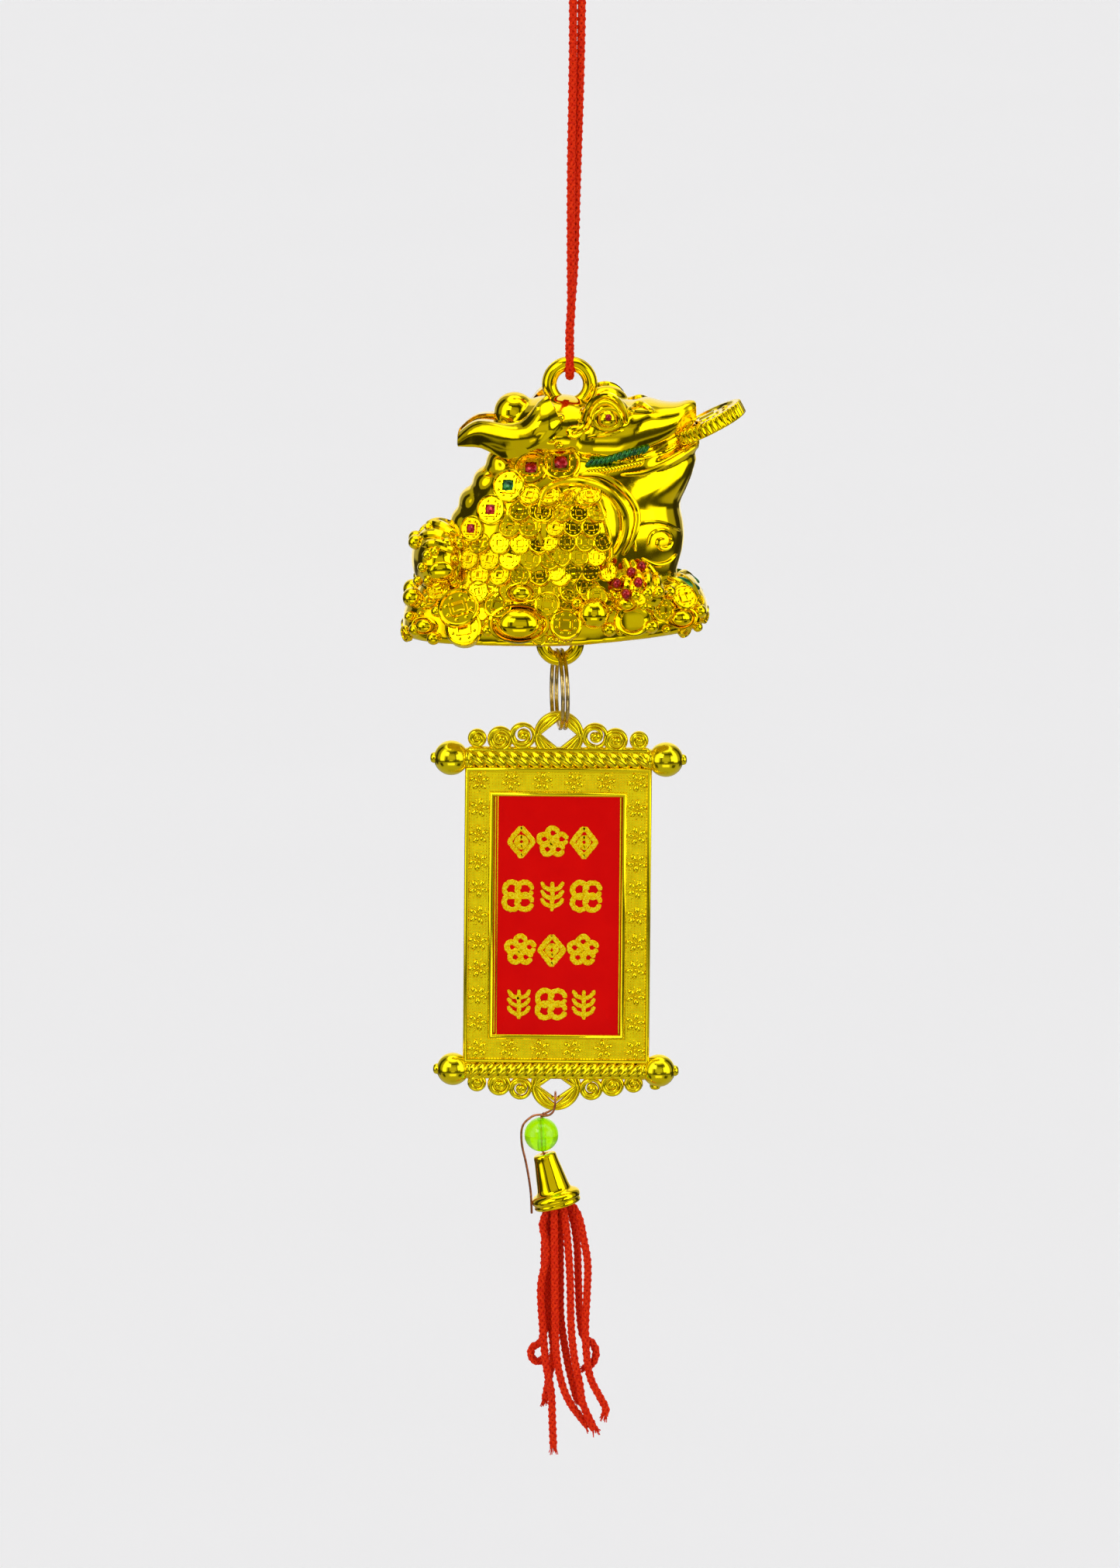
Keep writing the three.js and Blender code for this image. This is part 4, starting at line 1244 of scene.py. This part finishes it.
def card():
    """A flat card with softened edges, its face at Z 0.25."""
    rings = []
    for inset, z in ((0.0, -0.25), (0.0, 0.17), (0.03, 0.23), (0.1, 0.25)):
        w, h, r = CARD_HALF - inset, CARD_HIGH / 2 - inset, 0.4
        ring_points = []
        for cx, cy, start in ((w - r, h - r, 0), (-w + r, h - r, 90), (-w + r, -h + r, 180),
                              (w - r, -h + r, 270)):
            for k in range(5):
                a = math.radians(start + 22.5 * k)
                ring_points.append((cx + r * math.cos(a), cy + r * math.sin(a), z))
        rings.append(ring_points)
    return Shape().add(rings_to_skin(rings))


def ribbon(shape, points, width):
    """A flat raised stroke of glitter with a grainy edge, lying on Z 0."""
    line, _ = evenly([(x, y, 0) for x, y in points], 0.28)
    ahead = np.gradient(line, axis=0)
    ahead /= np.linalg.norm(ahead, axis=1)[:, None]
    side = np.stack([-ahead[:, 1], ahead[:, 0], np.zeros(len(line))], 1)
    lift = (0, 0, 0.015 * (len(shape.faces) // 7 % 9))
    rings = []
    for i, (p, s) in enumerate(zip(line + lift, side)):
        share = i / (len(line) - 1)
        half = width / 2 * (1 if 0 < i < len(line) - 1 else 0.6) * (0.92 + 0.08 * math.sin(math.pi * share))
        a, b = half + chance.uniform(-0.07, 0.07), half + chance.uniform(-0.07, 0.07)
        rings.append([tuple(p - s * a), tuple(p - s * a * 0.8 + (0, 0, 0.09)),
                      tuple(p + s * b * 0.8 + (0, 0, 0.09)), tuple(p + s * b), tuple(p + (0, 0, -0.17))])
    shape.add(rings_to_skin(rings))


def arc(x, y, r, start, end, high=1.0):
    return [(x + r * math.cos(math.radians(a)), y + high * r * math.sin(math.radians(a)))
            for a in np.linspace(start, end, 16)]


def plum(shape, x, y, r):
    """Five round petals about an eye."""
    for k in range(5):
        a = math.radians(90 + 72 * k)
        ribbon(shape, arc(x + 0.6 * r * math.cos(a), y + 0.6 * r * math.sin(a), 0.34 * r, 0, 350), 0.95)
    ribbon(shape, arc(x, y, 0.12 * r, 0, 350), 0.7)


def lozenge(shape, x, y, r):
    """One lozenge in another."""
    for size in (1.0, 0.42):
        q = r * size
        ribbon(shape, [(x, y + q), (x + 0.8 * q, y), (x, y - q), (x - 0.8 * q, y), (x, y + q)], 0.95)


def sprig(shape, x, y, r):
    """A stalk with three pairs of bent leaves."""
    ribbon(shape, [(x, y - r), (x, y + r * 0.95)], 0.75)
    for side in (-1, 1):
        for k in range(3):
            base = y - 0.75 * r + 0.55 * r * k
            ribbon(shape, [(x, base), (x + side * 0.5 * r, base + 0.22 * r),
                           (x + side * 0.72 * r, base + 0.6 * r)],
                   0.75)


def knot_work(shape, x, y, r):
    """Four linked rounds."""
    for dx, dy in ((0.42, 0.42), (-0.42, 0.42), (-0.42, -0.42), (0.42, -0.42)):
        ribbon(shape, arc(x + dx * r, y + dy * r, 0.5 * r, 0, 350), 0.95)


ORNAMENT_ROWS = [(16.4, (lozenge, plum, lozenge)), (17.8, (knot_work, sprig, knot_work)),
                 (16.4, (plum, lozenge, plum)), (17.0, (sprig, knot_work, sprig))]
ORNAMENT_R = 2.65


def ornament_rows():
    """Four rows of plain ornaments in glitter, where the card is printed."""
    shape = Shape()
    for row, (wide, marks) in enumerate(ORNAMENT_ROWS):
        y = 13.1 - 9.6 * row
        for k, mark in enumerate(marks):
            x = -0.9 + wide * ((k + 0.5) / len(marks) - 0.5)
            mark(shape, x, y, ORNAMENT_R)
    return shape


# ---------------------------------------------------------------- the pendant

WIRE_R = 0.2
WIRE_ROUTE = [
    (-8.0, -0.6, -218.1), (-8.2, -0.7, -214), (-8.9, -0.6, -209.5), (-9.75, -0.4, -205.5),
    (-9.6, -0.35, -202.6),
    (-8.2, -0.4, -201.0), (-6.9, -0.5, -200.5), (-5.4, -0.8, -200.6), (-4.4, -1.3, -200.0),
    (-3.95, -1.5, -198.8),
    (-3.85, -1.3, -197.2), (-3.85, -0.5, -196.65), (-3.85, 0.5, -196.65), (-3.85, 1.3, -197.2),
    (-3.95, 1.5, -198.8), (-4.6, 1.2, -200.0), (-5.7, 0.6, -200.5), (-6.3, 0.15, -201.0), (-6.4, 0, -202.2),
    (-6.3, 0, -204.1), (-6.2, 0, -206.4), (-5.85, 0, -207.6), (-5.4, 0, -209.2), (-4.98, 0, -210.7),
]
CAP_PROFILE = [(0.7, 0), (1.5, 0), (1.9, -0.15), (2.03, -0.5), (2.08, -1.2), (2.5, -3.8), (2.85, -6.0),
               (3.15, -6.8),
               (3.75, -7.15), (4.2, -7.6), (4.35, -8.1), (4.22, -8.5), (4.05, -8.7), (4.15, -8.95),
               (4.12, -9.3),
               (3.85, -9.55), (3.55, -9.4), (3.3, -8.5), (2.75, -7.3), (2.35, -6.0), (1.9, -3.2),
               (1.5, -1.0), (0.7, -0.9), (0.7, 0)]


def make_pendant():
    wire = Shape().add(sweep(spline(WIRE_ROUTE, 0.3), WIRE_R, sides=12, rounded=False))
    neck = spline([(-5.3, -0.1, -200.4), (-5.8, -0.1, -200.55), (-6.3, -0.1, -200.75)], 0.1)
    line, along = evenly(neck, 0.1)
    _, side, top = carried(line)
    for phase in (0, math.pi):  # the two legs twisted round each other
        a = TURN * along / 1.1 + phase
        twisted = line + 0.26 * (np.cos(a)[:, None] * side + np.sin(a)[:, None] * top)
        wire.add(sweep(twisted, WIRE_R, sides=10, rounded=False))
    piece = wire.to_object('copper_wire_tie', COPPER)
    settle(piece, 'pendant', 'copper_wire', 'bead_wire')

    r, hole = 3.0, 0.55
    lean = math.asin(hole / r)
    outside = [(r * math.sin(a), -r * math.cos(a)) for a in np.linspace(lean, math.pi - lean, 40)]
    profile = [*outside, (hole, 2.7), (hole, -2.7)]
    bead = Shape().add(lathe([*profile, profile[0]], 64))
    piece = bead.to_object('lime_bead', LIME, move(*BEAD_AT) @ turn(BEAD_LEAN, 'Y'), sharp=60)
    settle(piece, 'bead', 'green_bead', 'green_bead')

    place = move(*CAP_AT) @ turn(CAP_LEAN, 'Y')
    smooth = [(p.x, p.y) for p in spline([(r, z, 0) for r, z in CAP_PROFILE[::-1]], 0.3)]
    smooth[-1] = smooth[0]
    piece = Shape().add(lathe(smooth, 72)).to_object('bell_cap_turned', GOLD, place, sharp=70)
    settle(piece, 'cap', 'gold_plating', 'bell_cap')

    head = Shape()
    windings = []
    for share in np.linspace(0, 1, 260):  # nine turns of thread round the bound ends of the strands
        a = share * 9 * TURN
        r = 1.25 + 0.5 * share
        windings.append((r * math.cos(a), r * math.sin(a), -3.8 - 3.0 * share))
    head.add(sweep(windings, 0.22, sides=6))
    head.add(lathe([(0, -7.0), (1.5, -7.0), (1.8, -6.4), (1.25, -3.6), (0, -3.6)], 24))
    piece = head.to_object('tassel_binding', RED_CORD, place)
    settle(piece, 'pendant', 'red_cord', 'tassel_head')


make_split_ring()
make_plaque()
make_pendant()

# ---------------------------------------------------------------- studio

FLOOR_DOWN, FLOOR_R = 2.0, 40  # metres under the charm's origin, and across to its edge
FLOOR_GLOW = 0.19
PALE = (0.863, 0.855, 0.863)


def make_floor():
    bpy.ops.mesh.primitive_circle_add(vertices=96, radius=FLOOR_R, fill_type='NGON',
                                      location=(0, 0, -FLOOR_DOWN))
    floor = bpy.context.object
    floor.name = 'studio_floor'
    look = Look('pale_floor', (0.86, 0.855, 0.862), 0.9)
    look.feed(look.ramp(look.noise(3, 2), [(0.2, (0.855, 0.85, 0.857)), (0.8, (0.865, 0.86, 0.867))]),
              'Base Color')
    look.set('Emission Color', (*PALE, 1)).set('Emission Strength', FLOOR_GLOW)
    floor.data.materials.append(look.material)
    floor.visible_glossy = False


# Softboxes and dark cards round the charm: azimuth from the front to the right, elevation, the half
# sizes of each, all in degrees, and its brightness. Later ones cover earlier ones.
STUDIO = [
    (0, -50, 180, 26, 0.42),
    (0, -14, 180, 7, 0.05),
    (0, -10, 12, 3, 0.9),
    (0, 10, 34, 12, 0.52),
    (0, 42, 60, 7, 0.04),
    (-62, 22, 16, 34, 1.35),
    (70, 26, 14, 38, 1.45),
    (30, 22, 4, 30, 0.03),
    (-30, 20, 5, 26, 0.04),
    (-112, 12, 12, 40, 0.03),
    (118, 12, 12, 40, 0.03),
    (0, 72, 180, 12, 1.5),
    (0, -34, 26, 8, 1.3),
    (-75, -34, 12, 10, 0.02),
    (60, -36, 14, 9, 0.03),
    (180, 20, 30, 34, 1.0),
]
STUDIO_BASE = 0.36
EDGE = 2.5  # degrees over which a softbox fades


def make_world():
    world = bpy.data.worlds.new('studio')
    bpy.context.scene.world = world
    world.use_nodes = True
    nodes, links = world.node_tree.nodes, world.node_tree.links

    def maths(operation, a, b=None):
        node = nodes.new('ShaderNodeMath')
        node.operation = operation
        for socket, value in zip(node.inputs, (a, b)):
            if isinstance(value, (int, float)):
                socket.default_value = value
            elif value is not None:
                links.new(value, socket)
        return node.outputs[0]

    def fade(value, half):
        node = nodes.new('ShaderNodeMapRange')
        node.interpolation_type = 'SMOOTHSTEP'
        for name, number in (('From Min', half + EDGE), ('From Max', half - EDGE)):
            node.inputs[name].default_value = number
        links.new(value, node.inputs['Value'])
        return node.outputs['Result']

    axes = nodes.new('ShaderNodeSeparateXYZ')
    links.new(nodes.new('ShaderNodeTexCoord').outputs['Generated'], axes.inputs[0])
    azimuth = maths('MULTIPLY', maths('ARCTAN2', axes.outputs['X'],
                                      maths('MULTIPLY', axes.outputs['Y'], -1.0)),
                    180 / math.pi)
    elevation = maths('MULTIPLY', maths('ARCSINE', axes.outputs['Z']), 180 / math.pi)
    level = STUDIO_BASE
    for box_azimuth, box_elevation, half_wide, half_high, brightness in STUDIO:
        away = maths('ABSOLUTE', maths('SUBTRACT', azimuth, float(box_azimuth)))
        away = maths('MINIMUM', away, maths('SUBTRACT', 360.0, away))
        mask = maths('MULTIPLY', fade(away, half_wide),
                     fade(maths('ABSOLUTE', maths('SUBTRACT', elevation, float(box_elevation))), half_high))
        rest = maths('MULTIPLY', maths('SUBTRACT', 1.0, mask), level)
        level = maths('ADD', rest, maths('MULTIPLY', mask, brightness))
    pattern = nodes['Background']
    pattern.inputs['Color'].default_value = (1, 1, 1, 1)
    links.new(level, pattern.inputs['Strength'])
    plain = nodes.new('ShaderNodeBackground')
    plain.inputs['Color'].default_value = (*PALE, 1)
    mix = nodes.new('ShaderNodeMixShader')
    links.new(nodes.new('ShaderNodeLightPath').outputs['Is Camera Ray'], mix.inputs[0])
    links.new(pattern.outputs[0], mix.inputs[1])
    links.new(plain.outputs[0], mix.inputs[2])
    links.new(mix.outputs[0], nodes['World Output'].inputs['Surface'])


def make_light(name, at, aim, size, watts):
    data = bpy.data.lights.new(name, 'AREA')
    data.size, data.energy = size, watts
    light = bpy.data.objects.new(name, data)
    light.location = at
    light.rotation_euler = (Vector(aim) - Vector(at)).to_track_quat('-Z', 'Y').to_euler()
    bpy.context.scene.collection.objects.link(light)


make_floor()
make_world()
make_light('key_light', (-0.9, -1.4, 0.9), (0, 0, -0.13), 0.7, 7)
make_light('fill_light', (1.3, -1.1, 0.2), (0, 0, -0.13), 0.9, 4)
bpy.context.scene.view_settings.view_transform = 'Standard'
